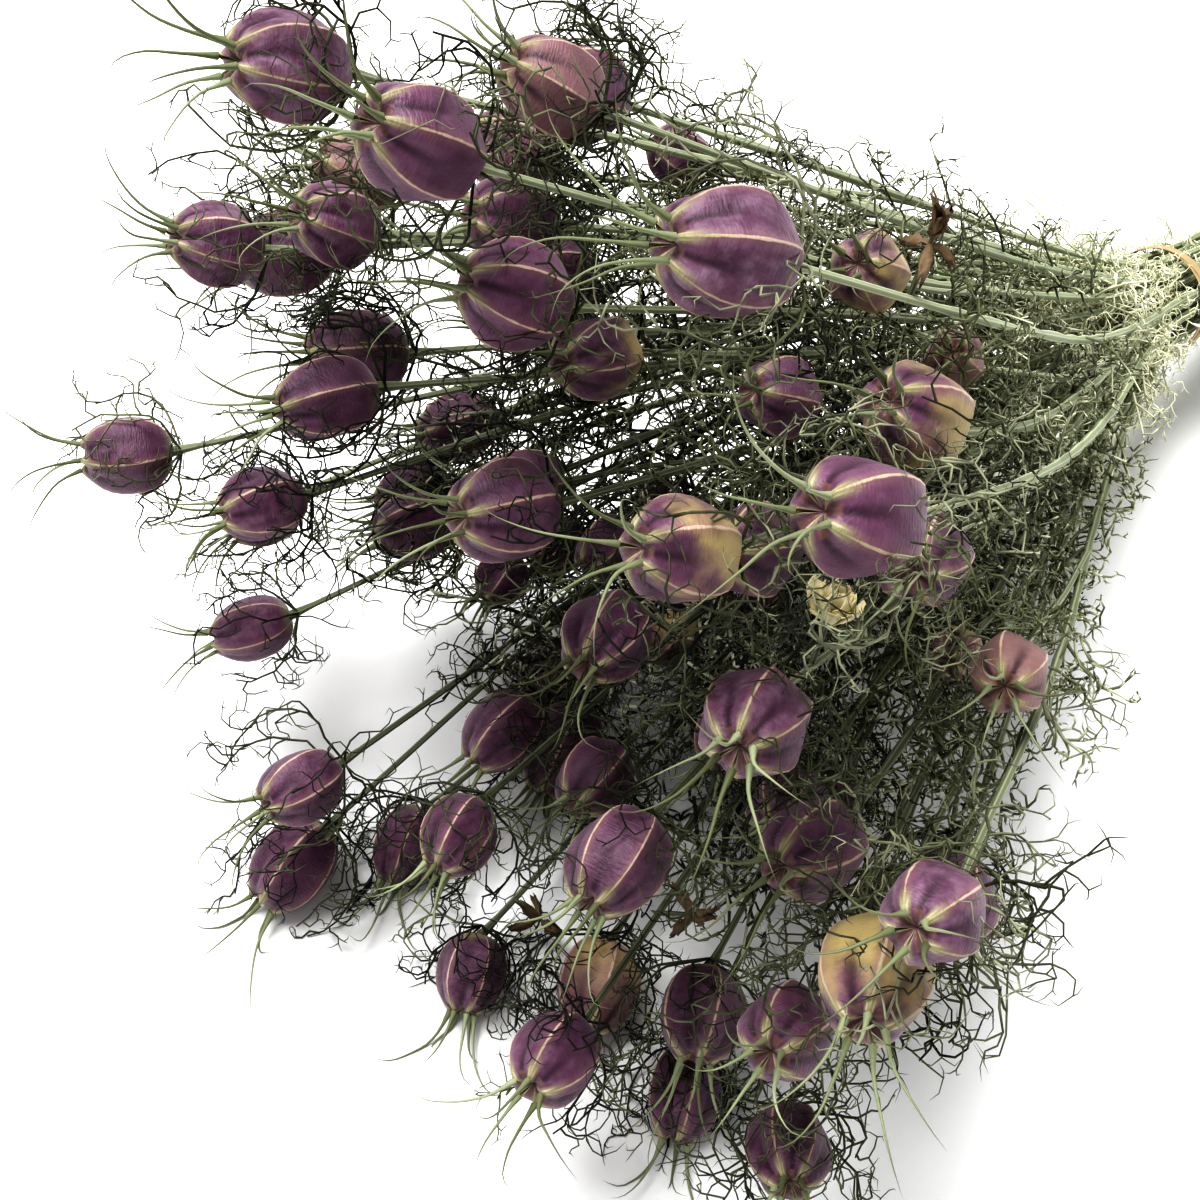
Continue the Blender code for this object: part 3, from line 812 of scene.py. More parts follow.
def make_pods(name, heads):
    """The pods of these heads as one piece."""
    mesh = bpy.data.meshes.new(name)
    mesh.from_pydata([(head["base"] + TO_WORLD).tolist() for head in heads], [], [])
    colours = [colour_of(head) for head in heads]
    for label in colours[0]:
        mesh.attributes.new(label, "FLOAT", "POINT").data.foreach_set("value", [c[label] for c in colours])
    order = sorted(set(LOBES))
    shapes = [POD_SHAPES * order.index(head["lobes"]) + head["seed"] % POD_SHAPES for head in heads]
    mesh.attributes.new("shape", "INT", "POINT").data.foreach_set("value", shapes)
    turns = np.array([euler_of(head) for head in heads], dtype=np.float32)
    mesh.attributes.new("turn", "FLOAT_VECTOR", "POINT").data.foreach_set("vector", turns.reshape(-1))
    sizes = np.array([(head["width"], head["width"], head["height"]) for head in heads], dtype=np.float32)
    mesh.attributes.new("size", "FLOAT_VECTOR", "POINT").data.foreach_set("vector", sizes.reshape(-1))
    piece = run_tree(new_piece(name, mesh), place_pods, {"Pods": pod_shapes, "Skin": pod_skin})
    points = points_of(piece.data)
    points[:, 2] = points[:, 2].clip(TABLE_GAP / 2)
    piece.data.vertices.foreach_set("co", points.reshape(-1))
    piece.data.update()
    print(name, len(heads), "pods,", triangles(piece), "triangles")
    return piece


def points_of(mesh):
    """The points of a mesh as rows of numbers."""
    points = np.empty(3 * len(mesh.vertices), dtype=np.float32)
    mesh.vertices.foreach_get("co", points)
    return points.reshape(-1, 3)


pods = [
    make_pods("main_pods", [head for head in heads if not head["side"]]),
    make_pods("side_pods", [head for head in heads if head["side"]]),
]

# %% [markdown]
# ## One tree for everything that is a thread, a horn or a stem
# Stems, horns and threads are all thin tubes along a path. Skinning each by hand would take
# hundreds of lines, so a Geometry Nodes tree does it: the paths come in as plain edges, become
# curves, take their thickness from an attribute and are swept with a round or ribbed outline.


# %% The tube tree
def build_tubes():
    """A tree that sweeps a ribbed circle along every path of edges."""
    tree = new_geometry_tree("tubes_on_paths", [
        ("Sides", "NodeSocketInt", 3),
        ("Rib Depth", "NodeSocketFloat", 0.0),
        ("Finish", "NodeSocketMaterial", None),
    ])
    start = add_node(tree, "NodeGroupInput")
    end = add_node(tree, "NodeGroupOutput")
    curves = add_node(tree, "GeometryNodeMeshToCurve", {"Mesh": start.outputs["Geometry"]})
    thick = add_node(tree, "GeometryNodeInputNamedAttribute", {"Name": "thickness"}, data_type="FLOAT")
    circle = add_node(tree, "GeometryNodeCurvePrimitiveCircle", {"Resolution": start.outputs["Sides"], "Radius": 1.0})
    index = add_node(tree, "GeometryNodeInputIndex")
    odd = calculate(tree, "MODULO", index.outputs[0], 2.0)
    share = calculate(tree, "SUBTRACT", 1.0, calculate(tree, "MULTIPLY", odd, start.outputs["Rib Depth"]))
    place = add_node(tree, "GeometryNodeInputPosition")
    pulled = add_node(tree, "ShaderNodeVectorMath", {0: place.outputs[0], "Scale": share}, operation="SCALE")
    outline = add_node(tree, "GeometryNodeSetPosition", {"Geometry": circle.outputs[0], "Position": pulled.outputs[0]})
    marked = add_node(tree, "GeometryNodeStoreNamedAttribute", {"Geometry": outline.outputs[0], "Name": "rib",
                                                               "Value": odd}, data_type="FLOAT", domain="POINT")
    swept = add_node(tree, "GeometryNodeCurveToMesh", {"Curve": curves.outputs[0], "Profile Curve": marked.outputs[0],
                                                      "Scale": thick.outputs["Attribute"], "Fill Caps": True})
    pointed = add_node(tree, "GeometryNodeMergeByDistance", {"Geometry": swept.outputs[0], "Distance": 1e-7})
    smooth = add_node(tree, "GeometryNodeSetShadeSmooth", {"Geometry": pointed.outputs[0]})
    real = add_node(tree, "GeometryNodeRealizeInstances", {"Geometry": smooth.outputs[0]})
    finished = add_node(tree, "GeometryNodeSetMaterial", {"Geometry": real.outputs[0],
                                                         "Material": start.outputs["Finish"]})
    tree.links.new(finished.outputs[0], end.inputs[0])
    return tree


TUBES = build_tubes()


# %% From paths to a piece
def smooth_path(points, step):
    """Even steps along a smooth curve through the given points."""
    points = np.asarray(points, dtype=float)
    at = np.concatenate([[0], np.cumsum(np.linalg.norm(np.diff(points, axis=0), axis=1))])
    slopes = np.gradient(points, at, axis=0)
    where = np.linspace(0, at[-1], max(3, int(at[-1] / step) + 2))
    k = np.clip(np.searchsorted(at, where, side="right") - 1, 0, len(at) - 2)
    span = (at[k + 1] - at[k])[:, None]
    s = (where - at[k])[:, None] / span
    return ((2 * s**3 - 3 * s**2 + 1) * points[k] + (s**3 - 2 * s**2 + s) * span * slopes[k]
            + (3 * s**2 - 2 * s**3) * points[k + 1] + (s**3 - s**2) * span * slopes[k + 1])


TAPER = 2.0


def strand(points, thick, thin, tone, **more):
    """A path with its thickness from root to tip and the tone of its colour."""
    share = np.linspace(0, 1, len(points))
    radii = thick + (thin - thick) * share ** TAPER
    return {"points": np.asarray(points), "thickness": radii, "share": share, "tone": np.full(len(points), tone), **more}


def tubes(name, strands, sides, rib_depth, material):
    """One piece of swept tubes, in the frame."""
    mesh = bpy.data.meshes.new(name)
    points = np.concatenate([one["points"] for one in strands]) + TO_WORLD
    radii = np.concatenate([one["thickness"] for one in strands])
    points[:, 2] = np.maximum(points[:, 2], radii + TABLE_GAP / 4)
    edges = []
    count = 0
    for one in strands:
        edges += [(count + i, count + i + 1) for i in range(len(one["points"]) - 1)]
        count += len(one["points"])
    mesh.from_pydata(points.tolist(), edges, [])
    for label in ("thickness", "share", "tone"):
        values = np.concatenate([one[label] for one in strands]).astype(np.float32)
        mesh.attributes.new(label, "FLOAT", "POINT").data.foreach_set("value", values)
    piece = run_tree(new_piece(name, mesh), TUBES, {"Sides": sides, "Rib Depth": rib_depth, "Finish": material})
    print(name, len(strands), "paths,", triangles(piece), "triangles")
    return piece


# %% [markdown]
# ## The stems
# A dried stem is pale sage with whitish ribs, slightly thicker at every knee where a leaf grew, and
# never quite straight. The paths are the ones that the model was built on, smoothed.

# %% The green of dry stems and threads
STEM_SAGE = (0.290, 0.325, 0.200)
STEM_PALE = (0.560, 0.590, 0.450)
STEM_OLIVE = (0.130, 0.145, 0.070)
# THREAD_DARK is near black: painted shade for threads and stems deep in the bunch, and also the colour of dry patches
# and ruff tips.
THREAD_DARK = (0.014, 0.016, 0.009)
THREAD_SAGE = (0.140, 0.155, 0.080)
THREAD_PALE = (0.780, 0.780, 0.590)
HORN_TIP = (0.075, 0.050, 0.035)


def make_stem_finish():
    """Sage green with whitish ribs and olive patches, darkened by painted shade where the tone is low."""
    material, tree, shader = new_material("stem_finish")
    place = add_node(tree, "ShaderNodeTexCoord").outputs["Object"]
    patches = effect(tree, DRY_PATCHES, Vector=place, Scale=45.0, Share=0.42, Softness=0.15)
    tone = attribute(tree, "tone")
    # Painted shade: a low tone darkens the furrows nearly to black and the ribs to olive.
    furrow = blend(tree, tone, THREAD_DARK, STEM_SAGE)
    patches = calculate(tree, "MULTIPLY", patches, calculate(tree, "SUBTRACT", 0.7, calculate(tree, "MULTIPLY", tone, 0.5)))
    furrow = blend(tree, patches, furrow, STEM_OLIVE)
    ridge = blend(tree, tone, STEM_OLIVE, STEM_PALE)
    rib = step_between(tree, attribute(tree, "rib"), 0.55, 0.1)
    colour = blend(tree, calculate(tree, "MULTIPLY", rib, 0.8), furrow, ridge)
    tree.links.new(colour, shader.inputs["Base Color"])
    shader.inputs["Roughness"].default_value = 0.62
    fibres = effect(tree, DRY_FIBRES, Vector=place, Stretch=(1.0, 0.15, 1.0), Scale=900.0)
    bump = add_node(tree, "ShaderNodeBump", {"Strength": 0.35, "Distance": 0.0002, "Height": fibres})
    tree.links.new(bump.outputs[0], shader.inputs["Normal"])
    return material


def make_thread_finish(name, dark, middle, pale, tip):
    """A thread or horn that runs from a middle colour to its tip, paler or darker by its tone; for threads the tone is
    partly painted shade and light.
    """
    material, tree, shader = new_material(name)
    place = add_node(tree, "ShaderNodeTexCoord").outputs["Object"]
    tone = attribute(tree, "tone")
    # The tone runs from dark to pale; on threads it holds painted shade and light by their place in the bunch.
    colour = blend(tree, step_between(tree, tone, 0.0, 0.5, False), dark, middle)
    colour = blend(tree, step_between(tree, tone, 0.5, 1.0, False), colour, pale)
    patches = effect(tree, DRY_PATCHES, Vector=place, Scale=120.0, Share=0.4, Softness=0.2)
    patches = calculate(tree, "MULTIPLY", patches, calculate(tree, "SUBTRACT", 0.5, calculate(tree, "MULTIPLY", tone, 0.4)))
    colour = blend(tree, patches, colour, dark)
    end_share = step_between(tree, attribute(tree, "share"), 0.45, 1.0)
    colour = blend(tree, calculate(tree, "MULTIPLY", end_share, 0.7), colour, tip)
    tree.links.new(colour, shader.inputs["Base Color"])
    shader.inputs["Roughness"].default_value = 0.66
    fibres = effect(tree, DRY_FIBRES, Vector=place, Stretch=(1.0, 1.0, 1.0), Scale=1400.0)
    bump = add_node(tree, "ShaderNodeBump", {"Strength": 0.3, "Distance": 0.0001, "Height": fibres})
    tree.links.new(bump.outputs[0], shader.inputs["Normal"])
    return material


stem_finish = make_stem_finish()
horn_finish = make_thread_finish("horn_finish", STEM_OLIVE, STEM_SAGE, STEM_PALE, HORN_TIP)
ruff_finish = make_thread_finish("ruff_finish", THREAD_DARK, THREAD_SAGE, THREAD_PALE, THREAD_DARK)
leaf_finish = make_thread_finish("leaf_finish", THREAD_DARK, THREAD_SAGE, THREAD_PALE, THREAD_PALE)

# %% Sweep the stems
STEM_STEP = 0.010
STEM_SIDES = 10
STEM_RIB_DEPTH = 0.16
KNEE_SWELL = 0.35
COLLAR_SWELL = 0.9
KNEE_LENGTH = 0.003
HEAD_ROOM = 0.010
LEAF_PLACES = ((-0.040, -0.015), (0.002, 0.014), (0.018, 0.032), (0.036, 0.048), (0.054, 0.068), (0.078, 0.095),
               (0.102, 0.120), (0.126, 0.142), (0.148, 0.163), (0.169, 0.183), (0.189, 0.203),
               (0.209, 0.223), (0.229, 0.243), (0.249, 0.263), (0.269, 0.283))
LOWER_LEAF_PLACES = ((0.110, 0.135), (0.155, 0.180), (0.195, 0.220))
LEFT_LEAF_PLACES = ((0.198, 0.218), (0.236, 0.256))
LEFT_SIDE = -0.25
STEM_FADE = (0.10, 0.20)


def leaf_places(head):
    """How far from the tie the leaves of a main stem grow."""
    rng = random.Random(head["seed"] + 30)
    places = LEAF_PLACES
    if head["disc"][1] < 0:
        places += LOWER_LEAF_PLACES
    elif head["disc"][0] < LEFT_SIDE:
        places += LEFT_LEAF_PLACES
    return [rng.uniform(*place) for place in places if place[1] < head["length"] - HEAD_ROOM]


def stem_strand(head):
    """The path of a head's stem, with its thickness."""
    rng = random.Random(head["seed"] + 31)
    path = side_path(head) if head["side"] else stem_path(head)
    radii = SIDE_RADII if head["side"] else STEM_RADII
    path[-1] = path[-1] + head["axis"] * 0.001
    points = smooth_path(path, STEM_STEP)
    made = strand(points, radii[0], radii[1], 0.0)
    from_tie = np.linalg.norm(points - on_flow((0.0, 0.0), 0.0), axis=1)
    fade = np.clip((STEM_FADE[1] - from_tie) / (STEM_FADE[1] - STEM_FADE[0]), 0, 1)
    # Painted shade: a stem deep in or under the bunch gets a dark tone, one on its open upper side a pale one, and all
    # grow pale near the tie.
    out = min(1.0, 1.25 * open_air(head)) * rng.uniform(0.75, 1.0)
    made["tone"] = out + (rng.uniform(0.7, 1.0) - out) * fade
    to_pod = np.linalg.norm(points - head["base"], axis=1)
    made["thickness"] = made["thickness"] * (1 + COLLAR_SWELL * np.exp(-(to_pod / KNEE_LENGTH) ** 2))
    if not head["side"]:
        for distance in leaf_places(head):
            knee = on_flow(head["disc"], distance)
            near = np.linalg.norm(points - knee, axis=1).argmin()
            gap = np.linalg.norm(points - points[near], axis=1)
            made["thickness"] = made["thickness"] * (1 + KNEE_SWELL * np.exp(-(gap / KNEE_LENGTH) ** 2))
    return made


SPRIG_REACH = 0.018
FLOWER_SPRIG = (21, 0.333, 90.0)
WITHERED_SPRIGS = ((62, 0.337, 45.0), (23, 0.325, 45.0), (71, 0.300, 90.0))


def sprig(index, distance, turn):
    """The foot and end of a short stalk: the head whose stem bears it, how far along, and which way."""
    head = heads[index]
    turn = math.radians(turn)
    out = laid(math.cos(turn), 0, math.sin(turn)) - laid(0, 0, 0)
    middle = on_flow(head["disc"], distance)
    return nearest_on(stem_path(head), middle), middle + SPRIG_REACH * out


def stalk_strand(foot, end):
    """The stalk of a sprig."""
    return strand(smooth_path([foot, (foot + end) / 2, end], 0.004), SIDE_RADII[1], SIDE_RADII[1] * 0.7, 0.2)


stalks = [stalk_strand(*sprig(*place)) for place in (FLOWER_SPRIG, *WITHERED_SPRIGS)]
stems = tubes("stems", [stem_strand(head) for head in heads] + stalks, STEM_SIDES, STEM_RIB_DEPTH, stem_finish)

# %% [markdown]
# ## The horns
# Each lip ends in a horn, the dried style of its cell. It starts where the lip ends, leans out and
# curls over, pale green below and dark at the tip. Its first half follows the model's horn.

# %% Grow the horns
HORN_THICK = 0.00055
HORN_THIN = 0.0
HORN_LONGER = (0.30, 0.75)
HORN_STEP = 0.0026


def horn_strands(head):
    """The horns of one pod."""
    rng = random.Random(head["seed"])
    curl = random.Random(head["seed"] + 32)
    u, v = frame_along(head["axis"], head["spin"])
    axis, width, height = head["axis"], head["width"], head["height"]

    def place(out, angle, up):
        return head["base"] + axis * up + out * (math.cos(angle) * u + math.sin(angle) * v)

    made = []
    for lobe in range(head["lobes"]):
        angle = 2 * math.pi * lobe / head["lobes"]
        spread = width * rng.uniform(*HORN_SPREAD)
        turned = angle + math.radians(rng.uniform(-HORN_TURN, HORN_TURN))
        rise = width * rng.uniform(*HORN_LENGTH)
        root = HORN_RADIUS * width
        start = place(root * 0.96, angle, (NECK_HEIGHT - 0.02) * height)
        middle = place(root + 0.30 * spread, (angle + turned) / 2, NECK_HEIGHT * height + 0.5 * rise)
        tip = place(root + spread, turned, NECK_HEIGHT * height + rise)
        ahead = unit(tip - middle)
        out = math.cos(turned) * u + math.sin(turned) * v
        over = unit(out * curl.uniform(0.2, 1.0) + np.cross(axis, out) * curl.uniform(-0.9, 0.9))
        longer = width * curl.uniform(*HORN_LONGER)
        bent = tip + longer * 0.5 * unit(ahead + 0.45 * over)
        end = bent + longer * 0.5 * unit(ahead * curl.uniform(-0.2, 0.8) + 1.1 * over)
        points = smooth_path([start, middle, tip, bent, end], HORN_STEP)
        one = strand(points, HORN_THICK, HORN_THIN, curl.uniform(0.0, 0.6))
        one["thickness"] = one["thickness"] * (1 + 0.9 * np.exp(-(one["share"] / 0.10) ** 2)) * (1 - 0.45 * one["share"])
        made.append(one)
    return made


horns = tubes("horns", [one for head in heads for one in horn_strands(head)], 4, 0.0, horn_finish)

# %% [markdown]
# ## The mist of threads
# What gives the plant its name is a ruff of leaves cut so fine that only forked threads are left.
# Each leaf has a midrib, side threads that leave it by turns left and right, and forks at their
# ends. A short growing rule makes them all: step forward, bend a little, fork, and stop.

# %% The growing rule
THREAD_STEP = 0.0038


def rotated(vector, axis, angle):
    """A vector turned about an axis."""
    return (vector * math.cos(angle) + np.cross(axis, vector) * math.sin(angle)
            + axis * float(axis @ vector) * (1 - math.cos(angle)))


def some_direction(rng):
    """A random direction."""
    return unit(np.array([rng.gauss(0, 1) for _ in range(3)]))


def grow(rng, start, heading, length, curl, kink):
    """A path that starts in a heading and bends steadily, with a kink at every step."""
    steps = max(2, round(length / THREAD_STEP))
    hinge = unit(np.cross(heading, some_direction(rng)))
    points = [start]
    for _ in range(steps):
        heading = rotated(heading, hinge, curl * rng.uniform(0.3, 1.0) / steps)
        heading = unit(heading + kink * some_direction(rng))
        points.append(points[-1] + heading * length / steps)
    return points, heading


def forked(rng, start, heading, length, thick, tone, forks, curl=2.6, kink=0.03):
    """A thread with forks at its end, and forks on those."""
    points, onward = grow(rng, start, heading, length, curl, kink)
    thin = thick * 0.72 if forks else 0.0
    made = [strand(points, thick, thin, tone)]
    if forks:
        side = unit(np.cross(onward, some_direction(rng)))
        opening = rng.uniform(0.18, 0.42)
        for hand in (1, -1):
            branch = rotated(onward, side, hand * opening)
            made += forked(rng, points[-1], branch, length * rng.uniform(0.55, 0.95), thin, tone, forks - 1, curl, kink)
    return made


def cut_leaf(rng, rib, thick, tone, pairs, side_length, forks, opening=(0.5, 0.9)):
    """A leaf cut to threads: its midrib, and forked threads that leave it left and right by turns."""
    made = [strand(rib, thick, thick * 0.6, tone)]
    rib = np.asarray(rib)
    flat = unit(np.cross(rib[-1] - rib[0], some_direction(rng)))
    for i in range(pairs):
        share = 0.25 + 0.75 * (i + rng.uniform(0.2, 0.8)) / pairs
        at = share * (len(rib) - 1)
        k = min(len(rib) - 2, int(at))
        start = rib[k] + (rib[k + 1] - rib[k]) * (at - k)
        along = unit(rib[k + 1] - rib[k])
        hand = 1 if i % 2 else -1
        heading = rotated(along, flat, hand * rng.uniform(*opening))
        heading = unit(heading + 0.25 * some_direction(rng))
        length = side_length * (1.15 - 0.5 * share) * rng.uniform(0.7, 1.2)
        made += forked(rng, start, heading, length, thick * 0.8, tone, forks)
    return made


def pushed_out(strands):
    """Moves every point that is inside a pod out to just above its skin."""
    points = np.concatenate([one["points"] for one in strands])
    for head in heads:
        local = points - head["middle"]
        along = local @ head["axis"]
        radial = np.linalg.norm(local - along[:, None] * head["axis"], axis=1)
        inside = ((radial / (head["width"] / 2 + THREAD_GAP)) ** 2.3
                  + np.abs(along / (head["height"] / 2 + THREAD_GAP)) ** 2.3) ** (1 / 2.3)
        hit = (inside < 1) & (inside > 0.05)
        points[hit] = head["middle"] + local[hit] / inside[hit, None]
    count = 0
    for one in strands:
        one["points"] = points[count:count + len(one["points"])]
        count += len(one["points"])
    return strands


# %% [markdown]
# The ruff has five or more such leaves in a ring just under the pod. They cup the pod, and where
# there is room they reach past it.

# %% Grow the ruffs
RUFF_LEAVES = (6, 9)
SIDE_RUFF_LEAVES = (5, 7)
RUFF_THICK = 0.00044
RUFF_LIFT = (0.0015, 0.0125)
RIM_RUFF_LEAVES = 2
RUFF_END = (75.0, 150.0)
RUFF_PAIRS = 5
SUNNY_SIDE = 0.42
PALEST_TONE = 0.62
RUFF_SIDE_LENGTH = 0.0118


def ruff_strands(head):
    """The ruff of one pod."""
    rng = random.Random(head["seed"] + 33)
    u, v = frame_along(head["axis"], head["spin"])
    count = rng.randint(*(SIDE_RUFF_LEAVES if head["side"] else RUFF_LEAVES))
    if math.hypot(*head["disc"]) > RIM_SHARE:
        count += RIM_RUFF_LEAVES
    root = head["base"] - 0.003 * head["axis"]
    made = []
    for k in range(count):
        turn = 2 * math.pi * (k + rng.uniform(0.3, 0.7)) / count
        outward = math.cos(turn) * u + math.sin(turn) * v
        sideways = np.cross(head["axis"], outward)
        lift = rng.uniform(*RUFF_LIFT)
        last = math.radians(rng.uniform(*RUFF_END))
        drift = rng.uniform(-0.5, 0.5)
        rib = [root]
        for i in range(1, 9):
            share = i / 8
            polar = math.radians(22) + (last - math.radians(22)) * share
            aim = drift * share + rng.uniform(-0.07, 0.07)
            skin = math.hypot(head["width"] / 2 * math.sin(polar), head["height"] / 2 * math.cos(polar))
            far = skin + 0.0012 + lift * math.sin(min(1.0, 1.4 * share) * math.pi / 2) + rng.uniform(-0.0005, 0.0005)
            flat = math.sin(polar) * (math.cos(aim) * outward + math.sin(aim) * sideways)
            rib.append(head["middle"] + far * (flat - math.cos(polar) * head["axis"]))
        # Painted shade and light: a ruff deep in the bunch gets a dark tone, an open one a paler one, and one on the
        # right rim the sunny side's painted highlight.
        tone = 0.08 + 0.26 * open_air(head) + SUNNY_SIDE * max(0.0, head["disc"][0]) ** 2
        tone = min(PALEST_TONE, max(0.0, rng.gauss(tone, 0.18)))
        made += cut_leaf(rng, rib, RUFF_THICK, tone, RUFF_PAIRS, RUFF_SIDE_LENGTH, 2)
    return made


RUFF_PIECES = 3
ruffs = []
for part in range(RUFF_PIECES):
    grown = [one for head in heads[part::RUFF_PIECES] for one in ruff_strands(head)]
    ruffs.append(tubes(f"ruff_threads_{part + 1}", pushed_out(grown), 3, 0.0, ruff_finish))

# %% [markdown]
# The stem leaves are longer and looser. Their tangle is the green mist between the stems.

# %% Grow the stem leaves
LEAF_LENGTH = (0.032, 0.055)
LEAF_THICK = 0.00042
INNER_THICKER = 1.0
LEAF_PAIRS = 6
LEAF_SIDE_LENGTH = 0.0120
LEAF_LEAN = (0.5, 1.3)
NECK_LENGTH = 0.090
NECK_LEAF = 0.62
RIM_SHORTER = 0.45
# Leaf tones near the neck, deep inside and outside the bunch; the inner and outer ones are painted shade and light.
NECK_TONE = 1.0
INNER_TONE = 0.0
OUTER_TONE = 0.20
LEAF_PIECES = 3


def leaf_strands(head):
    """The leaves of one main stem."""
    rng = random.Random(head["seed"] + 34)
    made = []
    for distance in leaf_places(head):
        start = on_flow(head["disc"], distance)
        forward = unit(on_flow(head["disc"], distance + 0.01) - start)
        neck = 1 - min(1.0, max(0.0, distance / NECK_LENGTH))
        size = (1 - (1 - NECK_LEAF) * neck) * (1 - RIM_SHORTER * max(0.0, *head["disc"]))
        out = rotated(forward, unit(np.cross(forward, some_direction(rng))), rng.uniform(*LEAF_LEAN) * size)
        rib, _ = grow(rng, start, out, rng.uniform(*LEAF_LENGTH) * size, 1.2, 0.07)
        depth = 1 - open_air(head)
        # Painted shade and light: a leaf deep in the bunch gets INNER_TONE, an open one OUTER_TONE, one on the right
        # rim the sunny side's painted highlight, and one near the neck NECK_TONE.
        pale = OUTER_TONE + (INNER_TONE - OUTER_TONE) * depth + SUNNY_SIDE * max(0.0, head["disc"][0]) ** 2
        close = min(1.0, max(0.0, 1.6 - distance / NECK_LENGTH))
        pale += (NECK_TONE - pale) * close
        tone = min(PALEST_TONE + (1 - PALEST_TONE) * close, max(0.0, rng.gauss(pale, 0.12)))
        thick = LEAF_THICK * (1 + INNER_THICKER * depth * (1 - neck))
        made += cut_leaf(rng, rib[::2], thick, tone, LEAF_PAIRS, LEAF_SIDE_LENGTH * size, 2)
    return made


mains = [head for head in heads if not head["side"]]
leaves = []
for part in range(LEAF_PIECES):
    grown = [one for head in mains[part::LEAF_PIECES] for one in leaf_strands(head)]
    leaves.append(tubes(f"leaf_threads_{part + 1}", pushed_out(grown), 3, 0.0, leaf_finish))

# %% [markdown]
# ## A dried flower and withered leaves
# One flower dried before it set seed, and a few leaves withered into brown twists. Each petal is a
# small grid, bent into a cup and crumpled by a few waves, and Solidify gives it a paper's thickness.

# %% Petals
PETAL_ROWS = 8
PETAL_COLUMNS = 6
PAPER_THICKNESS = 0.00025
PETAL_CREAM = (0.740, 0.700, 0.480)
PETAL_TAN = (0.500, 0.410, 0.230)
WITHERED_BROWN = (0.190, 0.135, 0.075)
WITHERED_DARK = (0.070, 0.045, 0.028)


def petal(rng, foot, along, across, length, width, cup, crumple):
    """The points of one crumpled petal, row by row."""
    face = np.cross(along, across)
    phase = [rng.uniform(0, 2 * math.pi) for _ in range(3)]
    points = []
    for i in range(PETAL_ROWS):
        s = i / (PETAL_ROWS - 1)
        half = width / 2 * (0.16 + 0.84 * math.sin(math.pi * min(1.0, 0.85 * s + 0.06)) ** 0.8)
        for j in range(PETAL_COLUMNS):
            t = 2 * j / (PETAL_COLUMNS - 1) - 1
            wave = math.sin(6 * s + phase[0]) * math.cos(3 * t + phase[1]) + 0.6 * math.sin(11 * s + 5 * t + phase[2])
            lift = cup * length * (s * s + 0.25 * t * t) + crumple * wave * (0.3 + s)
            points.append(foot + along * length * s * (1 - 0.3 * cup * s) + across * half * t + face * lift)
    return points


def papery(name, petals, fresh, aged):
    """One piece of petals, each a list of grid points, with a paper's thickness."""
    points = []
    faces = []
    edge = []
    for one in petals:
        first = len(points)
        points += one
        for i in range(PETAL_ROWS):
            for j in range(PETAL_COLUMNS):
                middle = 1 - abs(2 * j / (PETAL_COLUMNS - 1) - 1)
                edge.append(min(1.0, 2 * middle, 3 * (1 - i / (PETAL_ROWS - 1))))
                if i < PETAL_ROWS - 1 and j < PETAL_COLUMNS - 1:
                    a = first + i * PETAL_COLUMNS + j
                    faces.append((a, a + 1, a + 1 + PETAL_COLUMNS, a + PETAL_COLUMNS))
    mesh = bpy.data.meshes.new(name)
    mesh.from_pydata((np.array(points) + TO_WORLD).tolist(), [], faces)
    mesh.attributes.new("from_edge", "FLOAT", "POINT").data.foreach_set("value", edge)
    mesh.shade_smooth()
    material, tree, shader = new_material(name + "_finish")
    mesh.materials.append(material)
    place = add_node(tree, "ShaderNodeTexCoord").outputs["Object"]
    patches = effect(tree, DRY_PATCHES, Vector=place, Scale=380.0, Share=0.4, Softness=0.2)
    rim = step_between(tree, attribute(tree, "from_edge"), 0.5, 0.0)
    age = calculate(tree, "ADD", calculate(tree, "MULTIPLY", patches, 0.5), calculate(tree, "MULTIPLY", rim, 0.5))
    tree.links.new(blend(tree, age, fresh, aged), shader.inputs["Base Color"])
    shader.inputs["Roughness"].default_value = 0.7
    fibres = effect(tree, DRY_FIBRES, Vector=place, Stretch=(1.0, 1.0, 3.0), Scale=700.0)
    bump = add_node(tree, "ShaderNodeBump", {"Strength": 0.6, "Distance": 0.0002, "Height": fibres})
    tree.links.new(bump.outputs[0], shader.inputs["Normal"])
    piece = new_piece(name, mesh)
    solid = piece.modifiers.new("paper", "SOLIDIFY")
    solid.thickness = PAPER_THICKNESS
    made = bpy.data.meshes.new_from_object(piece.evaluated_get(bpy.context.evaluated_depsgraph_get()))
    piece.modifiers.clear()
    piece.data = made
    print(name, len(petals), "petals,", triangles(piece), "triangles")
    return piece


def whorl(rng, centre, axis, count, lean, length, width, cup, crumple):
    """Petals in a ring that lean away from an axis."""
    u, v = frame_along(axis, rng.uniform(0, 6))
    made = []
    for k in range(count):
        turn = 2 * math.pi * (k + rng.uniform(-0.2, 0.2)) / count
        out = math.cos(turn) * u + math.sin(turn) * v
        along = unit(axis * math.cos(lean) + out * math.sin(lean))
        across = np.cross(axis, out)
        size = rng.uniform(0.8, 1.1)
        made.append(petal(rng, centre, along, across, length * size, width * size, cup * rng.uniform(0.7, 1.3), crumple))
    return made


def make_flower():
    """The dried flower: two rings of petals that close over a bunch of small ones."""
    rng = random.Random(7)
    foot, end = sprig(*FLOWER_SPRIG)
    axis = unit(end - foot)
    centre = end - axis * 0.002
    petals = whorl(rng, centre, axis, 6, 1.25, 0.0095, 0.0085, 0.60, 0.0008)
    petals += whorl(rng, centre, axis, 6, 0.90, 0.0090, 0.0070, 0.55, 0.0008)
    petals += whorl(rng, centre, axis, 5, 0.45, 0.0080, 0.0055, 0.35, 0.0007)
    return papery("papery_flower", petals, PETAL_CREAM, PETAL_TAN)


